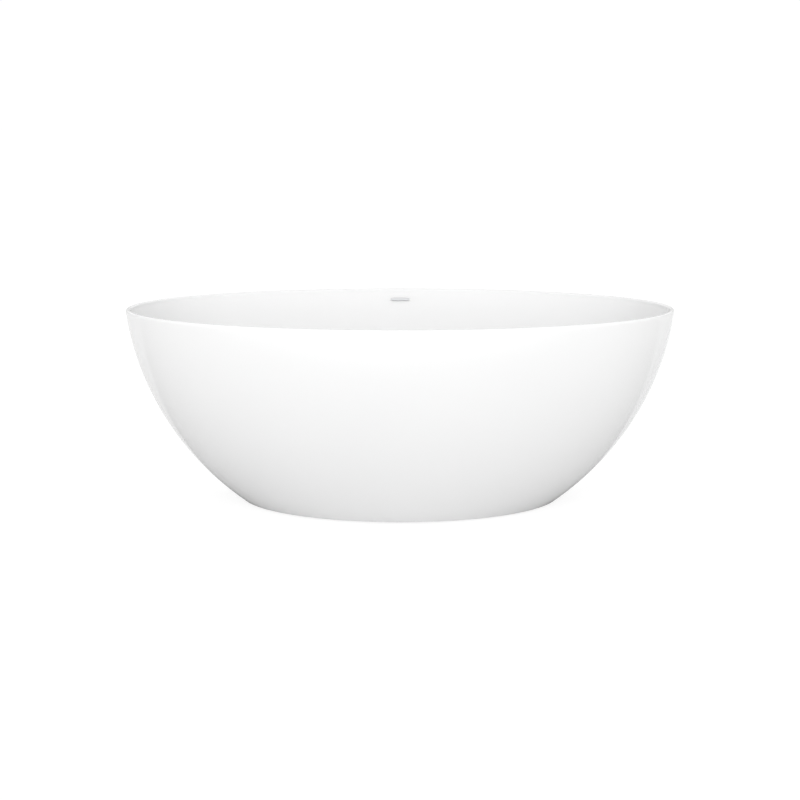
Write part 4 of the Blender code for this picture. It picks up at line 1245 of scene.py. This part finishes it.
def makeWelds():
    beads = []
    out = 0.0008  # a bead's line stands this far off the joint's edge
    for node in nodes:
        low, high = corners(node)
        if node.startswith("cross_member_"):
            centre, half = (low + high) / 2, (high.x - low.x) / 2 - 0.001
            ring = roundedOutline(2 * half, 2 * half, 0.003, steps=5)
            for y in (low.y + out, high.y - out):
                points = [Vector((centre.x + x, y, centre.z + z)) for x, z in ring]
                beads.append(weldMesh(between(points + points[:1]), loop=True))
        elif node.startswith("foot_plate_"):
            side = 1 if low.y > 0 else -1
            y = (low.y if side > 0 else high.y) + side * 0.0002
            for x in (low.x + out, high.x - out):
                points = [Vector((x, y, high.z - 0.002)), Vector((x, y, low.z + 0.006))]
                beads.append(weldMesh(between(points)))
    newPiece("frameWelds", joined("frameWelds", beads), slot="frame_paint")


for place in places:
    makeFoot(place)
    makeBoardScrew(place)
    roundedCopy("footPlate_" + place, "foot_plate_" + place, support["plateEdge"])
    roundedCopy("skirtStrap_" + place, "skirt_strap_" + place, support["plateEdge"])
    roundedCopy("strapPad_" + place, "strap_pad_" + place, support["plateEdge"])
for name, node in (("frontRail", "front_rail"), ("rearRail", "rear_rail")):
    roundedCopy(name, node, support["railEdge"])
for end in ("left_end", "left_middle", "right_middle", "right_end"):
    roundedCopy("crossMember_" + end, "cross_member_" + end, support["railEdge"])
roundedCopy("baseBoard", "base_board", support["boardEdge"])
roundedCopy("overflowHousing", "overflow_housing", 0.0003)
makeWelds()
print("frame and feet made")


studio = {
    "floorSize": 60.0,
    "floorDrop": 0.0005,  # the unseen floor lies this far under the shown one
    "floorGlow": 0.86,  # the shown floor is a lit white sheet, so the shadow on it stays faint
    "floorWhite": 0.20,
    "bounceWhite": 0.64,
    "glowFront": 1.4,  # the unseen floor glows from here forwards, and behind the bath
    "glowInFront": 1.15,
    "glowBack": (0.05, 0.07),
    "glowSlant": 0.16,
    "glowBehind": 0.38,
    "skySide": 0.42,
    "skyShown": 1.02,
    "skyFront": 0.96,
    "frontSpan": (-0.2, 0.9),  # each span runs along the direction's part, from -1 to 1
    "skyBack": 0.22,
    "backSpan": (0.5, 0.9),
    "skyRear": 0.55,
    "rearSpans": ((0.2, 0.9), (0.08, 0.35)),
    "skyLow": 1.0,  # a long low softbox in front
    "lowSpans": ((0.35, 0.95), (0.04, 0.18)),
    "skyTop": 0.26,
    "topSpan": (0.4, 0.9),
    "distance": 4.125,
    "eye": 1.268,
    "pitch": 13.17,
    "lens": 62.15,
}


def stagePlane(name, place, finish):
    def build(shape):
        size = Matrix.Diagonal((studio["floorSize"], studio["floorSize"], 1, 1))
        bmesh.ops.create_grid(shape, x_segments=2, y_segments=2, size=0.5, matrix=size)
    mesh = meshFrom(name, build)
    mesh.materials.append(finish)
    plane = added(name, mesh)
    plane.location = place
    return plane


def makeFloor():
    shown = newFinish("litFloor")
    shown = shown.surface(
        Base_Color=(studio["floorWhite"],) * 3,
        Roughness=1.0,
        Specular_IOR_Level=0.0,
        Emission_Color=(1, 1, 1),
        Emission_Strength=studio["floorGlow"],
    )
    floor = stagePlane("studioFloor", (0, 0, 0), shown)
    floor.visible_diffuse = False
    floor.visible_glossy = False
    floor.visible_shadow = False
    bounce = newFinish("bounceFloor")
    where = bounce.place()
    sideways = bounce.node("ShaderNodeMath", {"operation": "ABSOLUTE"}, {0: where.part(0)})
    inFront = (where.part(1) * -1.0).ramp(studio["glowFront"], 2 * studio["glowFront"])
    behind = (where.part(1) - studio["glowSlant"] * sideways).ramp(*studio["glowBack"])
    glow = studio["glowInFront"] * inFront + studio["glowBehind"] * behind
    bounce = bounce.surface(
        Base_Color=(studio["bounceWhite"],) * 3,
        Roughness=1.0,
        Specular_IOR_Level=0.0,
        Emission_Color=bounce.mix(glow, (0, 0, 0), (1, 1, 1)),
        Emission_Strength=1.0,
    )
    below = stagePlane("bounceFloor", (0, 0, -studio["floorDrop"]), bounce)
    below.visible_camera = False


def makeSky():
    world = bpy.data.worlds.new("softSky")
    bpy.context.scene.world = world
    sky = Finish(world)
    direction = sky.node("ShaderNodeTexCoord", out=0)
    along, up = direction.part(1), direction.part(2)
    towards = along * -1.0
    light = studio["skySide"] + studio["skyFront"] * towards.ramp(*studio["frontSpan"])
    light = light + studio["skyBack"] * along.ramp(*studio["backSpan"])
    level, rise = studio["rearSpans"]
    light = light + studio["skyRear"] * along.ramp(*level) * up.ramp(*rise)
    level, rise = studio["lowSpans"]
    light = light + studio["skyLow"] * towards.ramp(*level) * up.ramp(*rise, 1.0, 0.0)
    light = light + studio["skyTop"] * up.ramp(*studio["topSpan"])
    shown = sky.node("ShaderNodeLightPath")  # the backdrop itself is an even white
    light = light * (1 - shown) + studio["skyShown"] * shown
    background = sky.node("ShaderNodeBackground", {}, {"Color": (1, 1, 1, 1), "Strength": light})
    sky.node("ShaderNodeOutputWorld", {}, {"Surface": background})


def makeCamera():
    data = bpy.data.cameras.new("viewpoint")
    data.lens = studio["lens"]
    data.sensor_width = 36.0
    data.clip_end = 200.0
    camera = added("viewpoint", data)
    camera.location = (0, -studio["distance"], studio["eye"])
    camera.rotation_euler = (radians(90 - studio["pitch"]), 0, 0)
    bpy.context.scene.camera = camera


makeFloor()
makeSky()
makeCamera()
bpy.context.scene.view_settings.view_transform = "Standard"
print("stage set")
